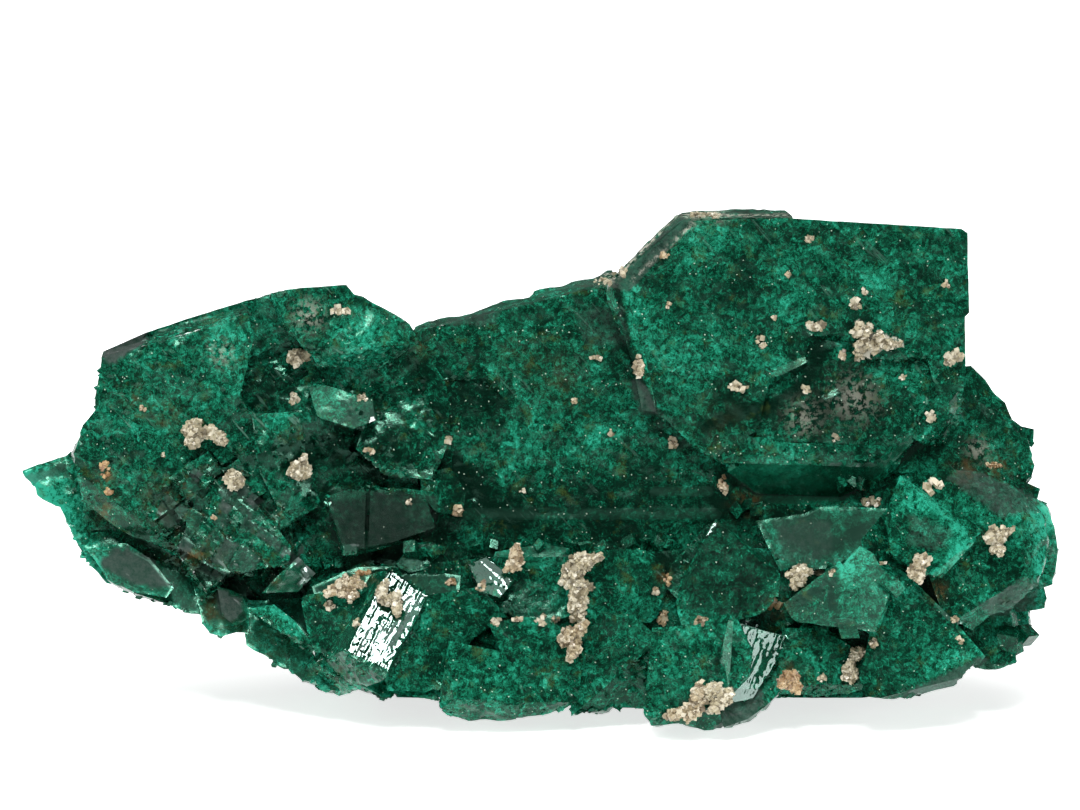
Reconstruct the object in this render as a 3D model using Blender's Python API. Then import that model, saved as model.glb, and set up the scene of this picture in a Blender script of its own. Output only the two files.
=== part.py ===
"""Dioptase specimen: blocky emerald-green crystals grown together, with crusts of pale druse on them.

The crystals are laid out on the specimen's show side: millimetres to the right of its middle,
millimetres up from its lowest point, and millimetres deep along the line of sight. The finished
cluster is then stood on the flat break that it rests on.
"""
import math
import random

import bmesh
import bpy
from mathutils import Matrix, Vector
from mathutils.bvhtree import BVHTree

MM = 0.001

# How the show side is looked at when its sizes are read
VIEW_TILT = math.radians(10)
SIGHT_LENGTH = 400.0
SIGHT_AXIS_UP = 18.8
FOOT_DEEP = -10.0

# The mass that carries the crystals
CORE_FRONT = -4.0
CORE_BACK = 4.5
FOOT_FRONT = -2.2
FOOT_BACK = 6.5

# Thick crystals narrow toward the back and have their rear corners knocked off
THICK_CRYSTAL = 5.0
BACK_INSET = 1.5
BACK_CHIPS = 5

# Hollows between the crystals are sunk from in front of everything
HOLLOW_FRONT = -12.0

# Small square crystals stepped over the foot of the left crystal
STEP_SEED = 5
STEP_SPACING = 1.25
STEP_EDGE_LOW = 0.9
STEP_EDGE_HIGH = 1.6
STEP_MISSING = 0.2

# Crystals on the hidden side, all of them inside this outline of the show side
HIDDEN_OUTLINE = [(-26, 14.5), (-25.2, 18.5), (-24.5, 21.3), (-18, 23.8), (-11.5, 24.8), (-8, 22.6),
                  (-1, 24.2), (4, 25.8), (8.5, 29), (23.5, 28.3), (24, 19.5), (27, 16.5), (28, 14),
                  (28.8, 11), (27.5, 8), (26.5, 5), (24, 3.6), (21, 2.8), (13.5, 2.6), (11, 1.6),
                  (-4, 1.6), (-8.5, 3.2), (-14, 4.6), (-20, 7.8), (-25, 10.2)]
BACK_SEED = 11
BACK_STEP = 5.0
BACK_EDGE_LOW = 4.4
BACK_EDGE_HIGH = 7.4
RHOMB_SHEAR = 0.22
BACK_FACE = 5.4
BACK_BULGE = 3.0

# Druse clumps: on the show side, where each lobe sits and how wide it is
CLUMP_CLEARANCE = 0.3
GRAIN_SHARE = 0.72
SEAT_REACH = 0.9
GRAINS_PER_LOBE = 2
CLUMP_LOBES = {
    "druse_column": [(2.3, 9.5, 1.5), (2.1, 8.5, 1.5), (2.2, 7.5, 1.2), (2.1, 6.6, 0.9)],
    "druse_tuft": [(1.5, 5.4, 1.0), (2.3, 5.6, 1.0), (2.8, 5.0, 0.9), (2.0, 4.8, 1.1)],
    "druse_low_large": [(8.2, 1.9, 1.2), (9.1, 2.2, 1.0), (8.9, 1.3, 1.2), (8.1, 1.0, 1.0)],
    "druse_low_small": [(10.2, 2.4, 0.9), (10.7, 1.9, 0.8), (10.2, 1.5, 0.8)],
    "druse_left_pair": [(-20.0, 17.6, 1.0), (-19.9, 17.0, 1.0), (-19.2, 17.2, 1.1), (-18.6, 16.9, 0.8)],
    "druse_left_high": [(-14.1, 21.7, 0.9), (-13.7, 21.5, 0.9)],
    "druse_left_hollow": [(-14.2, 15.2, 0.9), (-13.6, 15.2, 1.0), (-13.9, 14.9, 0.8)],
    "druse_left_low": [(-18.0, 14.6, 0.7), (-17.5, 14.3, 0.7)],
    "druse_slab_patch": [(18.6, 23.1, 0.9), (18.8, 22.4, 1.0), (19.5, 22.5, 0.9), (20.2, 22.4, 0.7)],
    "druse_slab_right": [(23.8, 21.6, 0.7), (24.2, 21.7, 0.6)],
    "druse_crust": [(-11.8, 8.0, 0.8), (-11.3, 8.5, 0.8), (-10.7, 8.4, 0.8), (-10.9, 7.8, 0.9)],
    "druse_on_striae": [(-9.1, 8.0, 0.8), (-8.5, 7.6, 0.9), (-8.3, 7.0, 0.6)],
    "druse_grey": [(-1.4, 10.2, 0.8), (-1.4, 9.5, 0.9)],
    "druse_right_tuft": [(21.5, 9.2, 0.8), (22.0, 9.6, 0.9), (22.0, 9.0, 0.7)],
    "druse_end": [(26.2, 11.3, 0.9), (26.8, 11.2, 0.9), (26.5, 10.7, 0.8)],
    "druse_nodule": [(15.0, 9.0, 1.1)],
    "druse_low_right": [(18.0, 3.8, 0.8), (18.0, 3.2, 0.8), (18.4, 4.3, 0.8)],
    "druse_low_edge": [(14.2, 2.9, 0.9), (14.6, 2.6, 0.9)],
}

DIOPTASE_GREEN = (0.004, 0.115, 0.068, 1.0)
DRUSE_CREAM = (0.62, 0.52, 0.37, 1.0)


def seen(point):
    """The real place, in metres, of a point given as right, up and deep on the show side."""
    right, up, deep = point
    spread = 1 + deep / SIGHT_LENGTH
    across = right * spread
    height = SIGHT_AXIS_UP + (up - SIGHT_AXIS_UP) * spread
    y = height * math.sin(VIEW_TILT) + deep * math.cos(VIEW_TILT)
    z = height * math.cos(VIEW_TILT) - (deep - FOOT_DEEP) * math.sin(VIEW_TILT)
    return Vector((across, y, z)) * MM


def clear_scene():
    for thing in list(bpy.data.objects):
        bpy.data.objects.remove(thing)


def new_collection(name):
    made = bpy.data.collections.new(name)
    bpy.context.scene.collection.children.link(made)
    return made


def mineral(name, colour, roughness):
    made = bpy.data.materials.new(name)
    made.use_nodes = True
    shader = made.node_tree.nodes["Principled BSDF"]
    shader.inputs["Base Color"].default_value = colour
    shader.inputs["Roughness"].default_value = roughness
    shader.inputs["Metallic"].default_value = 0.0
    return made


def outline_mesh(outline):
    """A closed slab one unit thick from a flat outline, front face at z 1, as a bmesh."""
    curve = bpy.data.curves.new("outline", "CURVE")
    curve.dimensions = "2D"
    curve.fill_mode = "BOTH"
    curve.extrude = 0.5
    spline = curve.splines.new("POLY")
    spline.points.add(len(outline) - 1)
    for corner, (right, up) in zip(spline.points, outline):
        corner.co = (right, up, 0.0, 1.0)
    spline.use_cyclic_u = True
    holder = bpy.data.objects.new("outline", curve)
    bpy.context.scene.collection.objects.link(holder)
    flat = evaluated_mesh(holder)
    bpy.data.objects.remove(holder)
    slab = bmesh.new()
    slab.from_mesh(flat)
    bmesh.ops.remove_doubles(slab, verts=slab.verts, dist=0.001)
    return slab


def chip(solid, cuts):
    """Cleaves a bmesh flat at each plane, given as a point on it and the way its facet faces."""
    for point, facing in cuts:
        everything = solid.verts[:] + solid.edges[:] + solid.faces[:]
        cut = bmesh.ops.bisect_plane(
            solid, geom=everything, plane_co=point, plane_no=Vector(facing).normalized(), clear_outer=True)
        rim = [edge for edge in cut["geom_cut"] if isinstance(edge, bmesh.types.BMEdge)]
        bmesh.ops.holes_fill(solid, edges=rim)


def finish_solid(name, solid, collection):
    """Puts a bmesh that is laid out on the show side at its real place, as an object, less whatever
    hangs under the flat break that the specimen stands on."""
    for corner in solid.verts:
        corner.co = seen(corner.co)
    chip(solid, [((0, 0, 0), (0, 0, -1))])
    bmesh.ops.recalc_face_normals(solid, faces=solid.faces)
    return add_object(name, solid, collection)


def add_object(name, solid, collection):
    """An object in the collection from a bmesh, which is used up."""
    mesh = bpy.data.meshes.new(name)
    solid.to_mesh(mesh)
    solid.free()
    made = bpy.data.objects.new(name, mesh)
    collection.objects.link(made)
    return made


def back_chips(name, middle, half_size, back):
    """Cleavages that knock the rear corners off a thick crystal, none of them reaching its front."""
    chance = random.Random(name)
    chips = []
    for number in range(BACK_CHIPS):
        angle = 2 * math.pi * (number + chance.uniform(0.1, 0.9)) / BACK_CHIPS
        outward = Vector((math.cos(angle), math.sin(angle), 0))
        reach = chance.uniform(0.6, 0.85)
        at = Vector((middle.x + reach * half_size.x * outward.x, middle.y + reach * half_size.y * outward.y,
                     back))
        chips.append((at, outward + Vector((0, 0, chance.uniform(0.8, 1.3)))))
    return chips


def plate(name, collection, outline, deep, back, lean=(0.0, 0.0), cuts=(), straight=False):
    """A crystal by the outline of its show face. lean is how much deeper the face lies for each
    millimetre to the right and each millimetre up. Unless straight, it narrows toward its back."""
    middle = Vector([sum(corner[axis] for corner in outline) / len(outline) for axis in (0, 1)])
    half_size = Vector([max(abs(corner[axis] - middle[axis]) for corner in outline) for axis in (0, 1)])
    thick = back - deep > THICK_CRYSTAL
    inset = 0.0 if straight else BACK_INSET if thick else BACK_INSET / 3
    slab = outline_mesh(outline)
    for corner in slab.verts:
        right, up, layer = corner.co
        slant = lean[0] * (right - middle.x) + lean[1] * (up - middle.y)
        if layer > 0:
            corner.co.z = deep + slant
        else:
            corner.co = (middle.x + (right - middle.x) * (1 - inset / half_size.x),
                         middle.y + (up - middle.y) * (1 - inset / half_size.y), back)
    bmesh.ops.recalc_face_normals(slab, faces=slab.faces)
    chip(slab, cuts)
    if thick and not straight:
        chip(slab, back_chips(name, middle, half_size, back))
    return finish_solid(name, slab, collection)


def block(name, collection, corner, edge_a, edge_b, edge_c, cuts=()):
    """A skewed box by one corner and the three edges that leave it."""
    cube = bmesh.new()
    half = Matrix.Translation((0.5, 0.5, 0.5))
    bmesh.ops.create_cube(cube, size=1.0, matrix=half)
    edges = [Vector(edge) for edge in (edge_a, edge_b, edge_c)]
    for place in cube.verts:
        share = place.co.copy()
        place.co = Vector(corner) + share.x * edges[0] + share.y * edges[1] + share.z * edges[2]
    bmesh.ops.recalc_face_normals(cube, faces=cube.faces)
    chip(cube, cuts)
    return finish_solid(name, cube, collection)


def core(crystals):
    """The mass behind the crystals, and the foot that the specimen stands on."""
    heart = [(-24, 19), (-18, 22), (-10, 22.5), (-7, 21), (-2, 22.5), (4, 24), (8, 27), (23, 27),
             (23.5, 19), (26.5, 16), (27.5, 10), (25.5, 6.5), (22, 4.5), (12, 3.5), (0, 2.6),
             (-8, 4), (-16, 6.8), (-21, 9), (-25.5, 12.5), (-26, 15)]
    plate("heart", crystals, heart, CORE_FRONT, CORE_BACK)
    lower_front = [(-12, 9), (-3, 10), (3, 10), (9, 10.5), (14, 10.5), (21, 11), (25, 12), (26.5, 8),
                   (24, 5), (18, 3.2), (11, 2.2), (4, 2.4), (-2, 2.4), (-6, 3.2), (-11, 4.6)]
    plate("lower_front", crystals, lower_front, -7.6, CORE_FRONT + 1)
    left_root = [(-26.2, 14), (-26.6, 11.6), (-25.2, 10), (-23, 9), (-20.4, 7.8), (-17, 6.4), (-13, 4.4),
                 (-9, 3.2), (-7, 8), (-13, 12), (-20, 13.5)]
    plate("left_root", crystals, left_root, CORE_FRONT - 0.6, CORE_BACK - 1)
    plate("foot_middle", crystals, [(-5.5, -1), (13, -1), (13, 7), (-5.5, 7)], FOOT_FRONT, FOOT_BACK, straight=True)
    plate("foot_right", crystals, [(12, -1), (21.6, -1), (23, 8), (12, 8)], 0.4, FOOT_BACK,
          straight=True)
    plate("foot_left", crystals, [(-7.2, -1), (-4, -1), (-4, 7), (-10, 7)], 0.6, FOOT_BACK - 1,
          straight=True)


def great_slab(crystals, cutters):
    """The large flat crystal at the upper right, with its crown and its bevelled foot."""
    face = [(4.1, 25.9), (8.3, 29.45), (14.7, 29.6), (24.4, 29.0), (24.75, 28.75), (24.85, 24.15),
            (24.6, 23.9), (24.65, 21.2), (24.1, 16.4), (21.8, 16.9), (20.4, 15.4), (18.9, 14.1),
            (17.4, 13.3), (12.5, 13.5), (9.5, 16.0), (6.7, 18.3), (5.2, 21.7)]
    foot_bevel = ((15, 15.35, -5.4), (0.0, -0.6, -0.8))
    corner_bevel = ((21.9, 16.8, -5.6), (0.62, -0.5, -0.6))
    slab = plate("great_slab", crystals, face, -5.8, 3.6, (0.02, -0.08), [foot_bevel, corner_bevel])
    pocket = [(12.8, 18.2), (13.4, 20.6), (15.3, 21.4), (15.7, 22.9), (17.4, 22.6), (19.0, 21.3),
              (22.4, 21.4), (23.0, 19.4), (21.6, 17.2), (19.6, 16.4), (14.6, 16.5), (12.0, 17.0)]
    hollow(slab, cutters, "etched_pocket", pocket, -5.25)
    under = [(19.5, 18.5), (24.35, 18.5), (24.05, 16.2), (22.9, 15.1), (21.2, 14.9), (19.5, 15)]
    plate("slab_under", crystals, under, -3.9, 3.0, (0.1, 0.1))
    crown = [(4.3, 26.3), (5.5, 27.7), (7.65, 29.97), (9.0, 30.2), (12.0, 30.42), (14.6, 30.25),
             (14.75, 27), (6, 23)]
    left_bevel = ((4.1, 25.9, -6.6), (-0.635, 0.752, -0.177))
    top_bevel = ((8.3, 29.45, -6.6), (-0.02, 0.98, -0.196))
    plate("slab_crown", crystals, crown, -6.0, 1.5, (0.02, -0.08), [left_bevel, top_bevel])
    plate("slab_flake", crystals, [(5.25, 24.9), (6.0, 22.2), (6.7, 18.4), (5.9, 18.5), (5.3, 21.5),
                                   (4.7, 24.6)], -6.1, -3.0, (-0.25, 0.0))


def middle_mass(crystals, cutters):
    """The broad crystal between the left one and the great slab, broken off rough along its top."""
    face = [(-7.5, 23.4), (-6.9, 23.85), (-4.2, 24.2), (-3.0, 24.8), (-2.1, 25.15), (-0.7, 25.2),
            (-0.4, 25.6), (0.9, 25.95), (2.2, 26.45), (3.2, 26.45), (4.4, 27.0), (5.2, 25.0),
            (5.4, 21.7), (7.0, 18.2), (9.8, 15.8), (10.3, 14.0), (8.6, 12.0), (5.5, 10.6), (1.0, 10.2),
            (-2.5, 11.2), (-5.0, 13.8), (-6.2, 18.0)]
    top_bevel = ((-1, 24.55, -4.6), (-0.235, 0.952, -0.196))
    foot_bevel = ((2, 12.9, -4.4), (0.0, -0.77, -0.64))
    mass = plate("middle_mass", crystals, face, -4.3, 3.2, (0.0, -0.06), [top_bevel, foot_bevel])
    dip = [(-6.2, 20.2), (-3.2, 20.4), (-2.2, 19.2), (-3.2, 18.4), (-5.6, 18.2)]
    hollow(mass, cutters, "hollow_middle", dip, -3.9)
    plate("middle_lump", crystals, [(-7.0, 14.8), (-5.2, 15.2), (-4.3, 13.8), (-4.5, 12.4), (-6.0, 12.6),
                                    (-6.9, 13.6)], -5.9, -3.0, (0.3, 0.2))


def left_crystal(crystals, cutters):
    """The large crystal at the left, grown from several blocks that lean different ways."""
    back_level = [(-25.3, 21.9), (-22.8, 23.0), (-20.1, 23.9), (-17.0, 24.85), (-15, 25.3), (-11.2, 25.75),
                  (-10.7, 25.3), (-9.5, 24.7), (-7.5, 23.4), (-5.4, 20), (-5.0, 14.5), (-6.4, 12.5),
                  (-10, 9.8), (-14, 8.6), (-20, 9), (-24, 11), (-26.8, 14.3), (-26.9, 16), (-26.3, 17.6),
                  (-25.7, 18.4)]
    behind = plate("left_crystal", crystals, back_level, -4.9, 3.4, (0.03, -0.04))
    hollow(behind, cutters, "hollow_side", [(-16.4, 21.6), (-14.4, 22.6), (-13.4, 20.6), (-15.0, 19.6)], -4.3)
    hollow(behind, cutters, "hollow_right", [(-10.6, 17.2), (-8.4, 17.0), (-7.6, 15.8), (-9.8, 15.4),
                                             (-11.0, 16.2)], -4.2)
    face = [(-25.4, 22.0), (-22.6, 22.75), (-22.5, 23.15), (-20.1, 23.9), (-17.2, 24.8), (-16.6, 22.6),
            (-17.4, 19.4), (-15.8, 16.6), (-14.6, 13.4), (-14.2, 10.2), (-16.4, 8.6), (-20.0, 9.4),
            (-23.6, 11.2), (-26.4, 13.4), (-27.0, 16.0), (-26.4, 17.6), (-25.65, 18.5)]
    top_bevel = ((-24, 22.1, -7.2), (-0.25, 0.93, -0.27))
    foot_bevel = ((-21, 10.9, -7.0), (-0.35, -0.6, -0.72))
    front = plate("left_face", crystals, face, -7.0, -3.0, (0.11, -0.06), [top_bevel, foot_bevel])
    hollow(front, cutters, "hollow_upper", [(-15.8, 17.0), (-13.2, 16.9), (-12.7, 15.9), (-15.2, 15.6)], -4.4)
    peak = [(-15.6, 25.25), (-11.2, 25.8), (-10.7, 25.3), (-10.2, 25.2), (-9.5, 24.75), (-7.55, 23.4),
            (-7.4, 21.6), (-9.4, 20.6), (-13.0, 20.9), (-14.4, 23.0)]
    plate("left_peak", crystals, peak, -6.5, -3.0, (0.12, 0.1), [((-11, 21.9, -6.4), (0.1, -0.72, -0.68))])
    plate("bright_wedge", crystals, [(-13.5, 20.15), (-9.6, 19.35), (-9.3, 17.9), (-10.8, 17.3),
                                     (-12.8, 18.2)], -6.9, -3.5, (-0.15, 0.5))
    plate("inner_ridge", crystals, [(-16.8, 18.4), (-14.2, 18.2), (-13.2, 15.2), (-12.6, 13.0),
                                    (-14.6, 11.8), (-16.2, 14.8)], -6.3, -3.5, (0.35, 0.0))
    plate("right_lobe", crystals, [(-10.2, 18.4), (-6.7, 19.4), (-5.3, 16.6), (-6.2, 14.4), (-9.0, 14.6),
                                   (-10.8, 16.2)], -6.0, -3.0, (0.1, 0.16))
    grey = plate("grey_face", crystals, [(-12.4, 13.5), (-9.9, 14.3), (-6.7, 13.8), (-6.1, 11.7),
                                         (-8.4, 10.9), (-11.3, 10.3)], -6.9, -3.0, (0.18, 0.3))
    hollow(grey, cutters, "crack", [(-10.05, 14.6), (-9.8, 14.6), (-9.95, 10.2), (-10.2, 10.2)], -5.9)
    plate("grey_chip", crystals, [(-14.0, 9.95), (-13.0, 9.05), (-14.0, 8.0), (-16.1, 7.9),
                                  (-15.2, 8.9)], -8.3, -3.5, (0.15, 0.35))
    plate("left_brow", crystals, [(-19.6, 14.6), (-16.6, 13.4), (-14.4, 10.6), (-14.6, 9.4), (-18.4, 8.9),
                                  (-21.0, 10.4)], -7.7, -4.0, (-0.05, 0.2))


def stepped_squares(crystals):
    """Small square crystals, all set the same way, that step down over the foot of the left crystal."""
    chance = random.Random(STEP_SEED)
    turn = Matrix.Rotation(math.radians(38), 3, "Z")
    for row in range(5):
        for column in range(5):
            if chance.random() < STEP_MISSING:
                continue
            along = turn @ Vector((column * STEP_SPACING, row * STEP_SPACING, 0))
            middle = Vector((-19.2 + along.x, 8.9 + along.y, -7.1 + chance.uniform(-0.35, 0.25)))
            edge = chance.uniform(STEP_EDGE_LOW, STEP_EDGE_HIGH)
            tilt = Matrix.Rotation(math.radians(12), 3, "X") @ turn
            edges = [tilt @ Vector((edge, 0, 0.15)), tilt @ Vector((0, edge, -0.2)),
                     tilt @ Vector((0.1, 0.1, 2.6))]
            block(f"square_{row}{column}", crystals, middle - (edges[0] + edges[1]) / 2, *edges)


def left_margin(crystals):
    """The thin plates and chips under the left crystal, out to its tip."""
    plate("tip", crystals, [(-30.0, 15.0), (-27.0, 16.2), (-25.2, 15.6), (-26.0, 12.6), (-28.0, 13.0),
                            (-29.0, 13.65), (-29.2, 14.1), (-29.8, 14.6)], -3.4, -1.0, (0.1, 0.12),
          [((-28, 15.62, -3.4), (-0.3, 0.86, -0.42))])
    plate("tip_root", crystals, [(-28.0, 13.3), (-25.0, 14.0), (-24.2, 10.2), (-26.2, 9.7), (-27.15, 11.2)],
          -4.2, 1.0, (0.2, 0.1))
    plate("margin_1", crystals, [(-27.1, 11.4), (-24.4, 11.4), (-23.6, 8.6), (-25.0, 8.65), (-26.0, 9.45)],
          -5.2, 1.2, (0.1, 0.25))
    plate("margin_2", crystals, [(-26.3, 10.5), (-24.0, 10.7), (-22.6, 9.95), (-21.2, 8.2), (-21.6, 7.6),
                                 (-23.5, 8.0), (-25.0, 8.75)], -6.2, 0.5, (0.1, 0.35))
    plate("margin_3", crystals, [(-23.6, 9.4), (-19.6, 9.6), (-19.4, 6.7), (-20.2, 6.7), (-21.5, 7.2),
                                 (-23.4, 7.95)], -5.0, 1.8, (0.1, 0.3))
    plate("margin_4", crystals, [(-20.2, 8.8), (-17.0, 8.4), (-16.8, 5.6), (-17.6, 5.6), (-18.4, 5.42),
                                 (-19.1, 5.6), (-19.55, 6.15)], -5.8, 2.4, (-0.1, 0.3))
    plate("margin_chip", crystals, [(-18.7, 8.3), (-17.2, 7.9), (-16.8, 6.5), (-17.6, 6.0), (-18.4, 6.6)],
          -6.9, -2.0, (0.3, 0.4))
    plate("margin_5", crystals, [(-17.6, 7.6), (-13.4, 7.6), (-12.6, 3.4), (-14.6, 3.45), (-15.6, 3.95),
                                 (-17.0, 4.9)], -6.3, 3.0, (0.0, 0.35))
    plate("green_ridge", crystals, [(-17.0, 7.0), (-15.4, 7.25), (-14.2, 6.3), (-13.2, 4.95),
                                    (-12.9, 4.1), (-14.0, 4.6), (-15.4, 6.0)], -8.3, -3.0, (-0.1, 0.1))
    plate("margin_6", crystals, [(-14.6, 5.4), (-9.0, 5.6), (-8.6, 2.05), (-9.0, 1.95), (-10.4, 2.65),
                                 (-11.5, 2.3), (-12.6, 2.35), (-13.0, 2.62), (-13.9, 2.7), (-14.6, 3.3)],
          -7.2, 2.6, (0.0, 0.3))
    plate("margin_scale", crystals, [(-13.4, 4.2), (-10.6, 3.5), (-9.8, 2.9), (-10.6, 2.7), (-12.8, 3.3)],
          -8.6, -4.0, (-0.1, 0.5))


def front_row_left(crystals):
    """The blocks of the lower front row, from the striated one to the middle."""
    block("striated_block", crystals, (-8.85, 9.15, -9.6), (2.3, -1.55, -0.5), (-2.5, -4.6, -1.5),
          (-2.6, -0.9, 4.6))
    plate("striated_left", crystals, [(-13.9, 7.75), (-12.4, 7.95), (-10.0, 8.0), (-9.6, 5.2), (-11.4, 3.9),
                                      (-13.2, 4.4)], -8.7, -3.5, (-0.15, 0.2))
    plate("dark_flank", crystals, [(-6.8, 7.75), (-3.4, 8.3), (-1.9, 6.5), (-4.0, 5.0), (-5.3, 3.1),
                                   (-6.6, 2.2), (-8.8, 2.3), (-9.2, 3.8)], -9.3, -3.5, (0.24, 0.08))
    plate("under_flank", crystals, [(-11.3, 4.4), (-8.8, 3.8), (-6.6, 3.2), (-5.9, 1.75), (-6.6, 1.8),
                                    (-8.4, 2.1), (-9.0, 1.92), (-10.3, 2.6)], -9.3, -3.5, (0.1, 0.55))
    plate("low_block_1", crystals, [(-5.3, 5.15), (-2.1, 4.5), (-0.9, 1.9), (-1.3, 0.68), (-4.2, 0.42),
                                    (-5.3, 0.82), (-6.0, 1.65)], -10.4, -4.0, (0.04, 0.06),
          [((-4, 1.7, -10.4), (0.0, -0.78, -0.62)), ((-5.3, 3, -10.2), (-0.7, 0.0, -0.7))])
    plate("low_block_2", crystals, [(-2.95, 6.1), (-1.0, 6.55), (0.4, 6.35), (1.7, 5.6), (2.5, 4.4),
                                    (2.2, 1.1), (1.6, 0.74), (0.0, 0.72), (-1.5, 0.64), (-1.9, 3.6)],
          -9.9, -4.0, (0.06, 0.12), [((0, 1.45, -10), (0.05, -0.75, -0.66))])
    plate("low_block_3", crystals, [(1.4, 5.2), (3.0, 6.9), (5.4, 6.6), (7.0, 5.2), (6.4, 0.9), (5.05, 0.95),
                                    (4.75, 0.6), (4.2, 0.95), (3.4, 0.62), (1.8, 0.72)], -9.4, -4.0,
          (-0.22, 0.2), [((4.6, 3.9, -9.8), (0.35, -0.45, -0.82))])
    plate("glint_block", crystals, [(-4.15, 9.6), (-3.1, 10.07), (-1.55, 8.6), (-2.3, 7.6), (-3.5, 8.0)],
          -8.6, -4.0, (0.2, 0.5))
    plate("behind_glint", crystals, [(-2.6, 10.3), (0.2, 10.75), (1.7, 10.5), (1.9, 6.6), (-1.4, 6.2),
                                     (-3.4, 7.6)], -7.6, -3.0, (0.05, 0.22))
    plate("dark_boulder", crystals, [(-8.3, 9.6), (-7.4, 10.6), (-6.2, 10.85), (-6.0, 10.1), (-6.6, 9.3),
                                     (-7.6, 9.1)], -7.5, -3.0, (0.1, 0.3))
    plate("left_shelf", crystals, [(-13.2, 8.3), (-10.6, 9.4), (-8.0, 9.5), (-4.6, 8.9), (-4.8, 6.5),
                                   (-12.8, 6.8)], -7.9, -3.0, (0.0, 0.35))
    plate("ruled_block", crystals, [(2.9, 10.35), (5.9, 10.5), (7.2, 9.7), (7.3, 7.9), (6.4, 6.2),
                                    (2.4, 5.9)], -8.1, -3.0, (0.1, 0.1))


def front_row_right(crystals):
    """The blocks of the lower front row, from the dark rhomb to the right end."""
    rhomb = [(10.2, 12.2), (14.0, 9.2), (13.8, 7.7), (12.8, 6.6), (10.8, 6.2), (8.3, 5.7), (7.8, 7.3),
             (8.0, 8.6)]
    plate("dark_rhomb", crystals, rhomb, -9.7, -3.5, (0.04, 0.22),
          [((12.05, 10.35, -9.2), (0.53, 0.66, -0.53)), ((9.0, 10.0, -9.2), (-0.75, 0.38, -0.54))])
    plate("rhomb_side", crystals, [(9.9, 12.0), (7.6, 9.6), (7.3, 8.2), (8.2, 7.4), (10.4, 9.0)],
          -8.2, -3.0, (-0.1, 0.2))
    front = [(6.5, 5.9), (9.0, 6.05), (10.85, 6.75), (11.45, 6.35), (12.4, 4.6), (12.2, 3.1), (10.8, 1.7),
             (10.6, 0.12), (9.5, -0.1), (8.0, 0.28), (6.3, 0.1), (6.0, 0.98)]
    plate("low_block_4", crystals, front, -11.4, -4.0, (-0.08, 0.16), [((8.5, 1.2, -11.8), (0.1, -0.7, -0.7))])
    plate("striated_end", crystals, [(10.9, 6.35), (14.3, 5.45), (13.5, 3.8), (12.3, 1.8), (10.7, 1.5),
                                     (10.4, 4.0)], -10.9, -4.5, (0.5, 0.12))
    plate("glassy_foot", crystals, [(13.9, 5.3), (14.7, 4.1), (13.75, 2.0), (13.0, 1.3), (12.0, 0.6),
                                    (10.65, 0.12), (10.3, 1.4), (12.4, 3.0)], -10.3, -4.5, (0.25, 0.5))
    plate("low_block_5", crystals, [(14.0, 5.9), (16.1, 5.85), (17.6, 5.1), (18.9, 4.2), (18.7, 2.25),
                                    (17.1, 1.92), (15.0, 2.12), (13.7, 2.0)], -9.5, -3.0, (0.05, 0.16),
          [((16.5, 2.8, -9.7), (0.0, -0.7, -0.7))])
    plate("ridge_left", crystals, [(14.1, 7.3), (15.8, 8.6), (17.35, 9.8), (18.4, 8.2), (18.6, 5.9),
                                   (14.7, 6.2)], -9.9, -3.0, (-0.3, 0.38))
    plate("ridge_right", crystals, [(17.1, 9.1), (18.5, 10.65), (19.3, 10.2), (20.4, 8.2), (19.4, 5.8),
                                    (17.6, 5.9), (17.0, 7.8)], -10.1, -3.0, (-0.2, 0.42))
    corner = [(18.8, 10.1), (20.7, 9.5), (23.3, 7.0), (24.6, 5.6), (25.8, 4.25), (25.3, 3.6), (24.0, 2.5),
              (22.7, 2.2), (21.6, 1.85), (20.1, 1.68), (18.95, 1.85), (18.5, 3.0), (19.1, 5.6), (18.4, 8.0)]
    plate("corner_block", crystals, corner, -10.2, -1.5, (0.14, 0.22),
          [((22.9, 2.95, -10.8), (0.3, -0.68, -0.66))])
    cube_face = [(20.85, 14.75), (22.6, 13.6), (25.35, 11.05), (24.6, 10.2), (23.3, 8.75), (21.6, 9.4),
                 (20.3, 10.3), (20.0, 12.4)]
    plate("cube", crystals, cube_face, -9.9, -3.0, (0.04, 0.14),
          [((22.75, 12.85, -9.7), (0.53, 0.62, -0.58)), ((24.0, 10.3, -10.2), (0.54, -0.53, -0.65))])
    plate("cube_shard", crystals, [(22.2, 12.6), (23.3, 13.35), (25.7, 11.5), (24.5, 10.6)], -9.25, -4.0,
          (0.22, 0.33))
    plate("cube_nook", crystals, [(18.6, 11.0), (20.2, 12.9), (20.9, 11.8), (21.0, 9.0), (18.8, 9.2)],
          -8.6, -3.0, (0.3, 0.2))
    plate("grey_block", crystals, [(12.5, 12.1), (15.3, 12.5), (16.0, 12.9), (18.0, 12.9), (20.3, 12.8),
                                   (20.8, 10.8), (19.0, 10.2), (17.0, 9.4), (15.0, 9.2), (13.9, 9.2),
                                   (13.2, 10.6)], -7.6, -3.0, (0.04, 0.3))
    round_end = [(22.0, 14.2), (23.3, 15.1), (25.9, 15.1), (27.2, 14.4), (28.45, 13.45), (29.3, 12.5),
                 (29.7, 11.0), (29.3, 9.2), (28.4, 8.1), (27.3, 7.0), (26.1, 6.5), (25.0, 5.4), (23.4, 6.4),
                 (22.5, 9.0)]
    plate("round_end", crystals, round_end, -8.9, -1.0, (0.05, 0.08),
          [((26.3, 13.6, -8.6), (0.3, 0.66, -0.69)), ((27.5, 8.3, -8.8), (0.45, -0.6, -0.66)),
           ((28.4, 10.8, -8.2), (0.78, 0.1, -0.62)), ((28.1, 12.3, -8.2), (0.68, 0.45, -0.58))])


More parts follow.
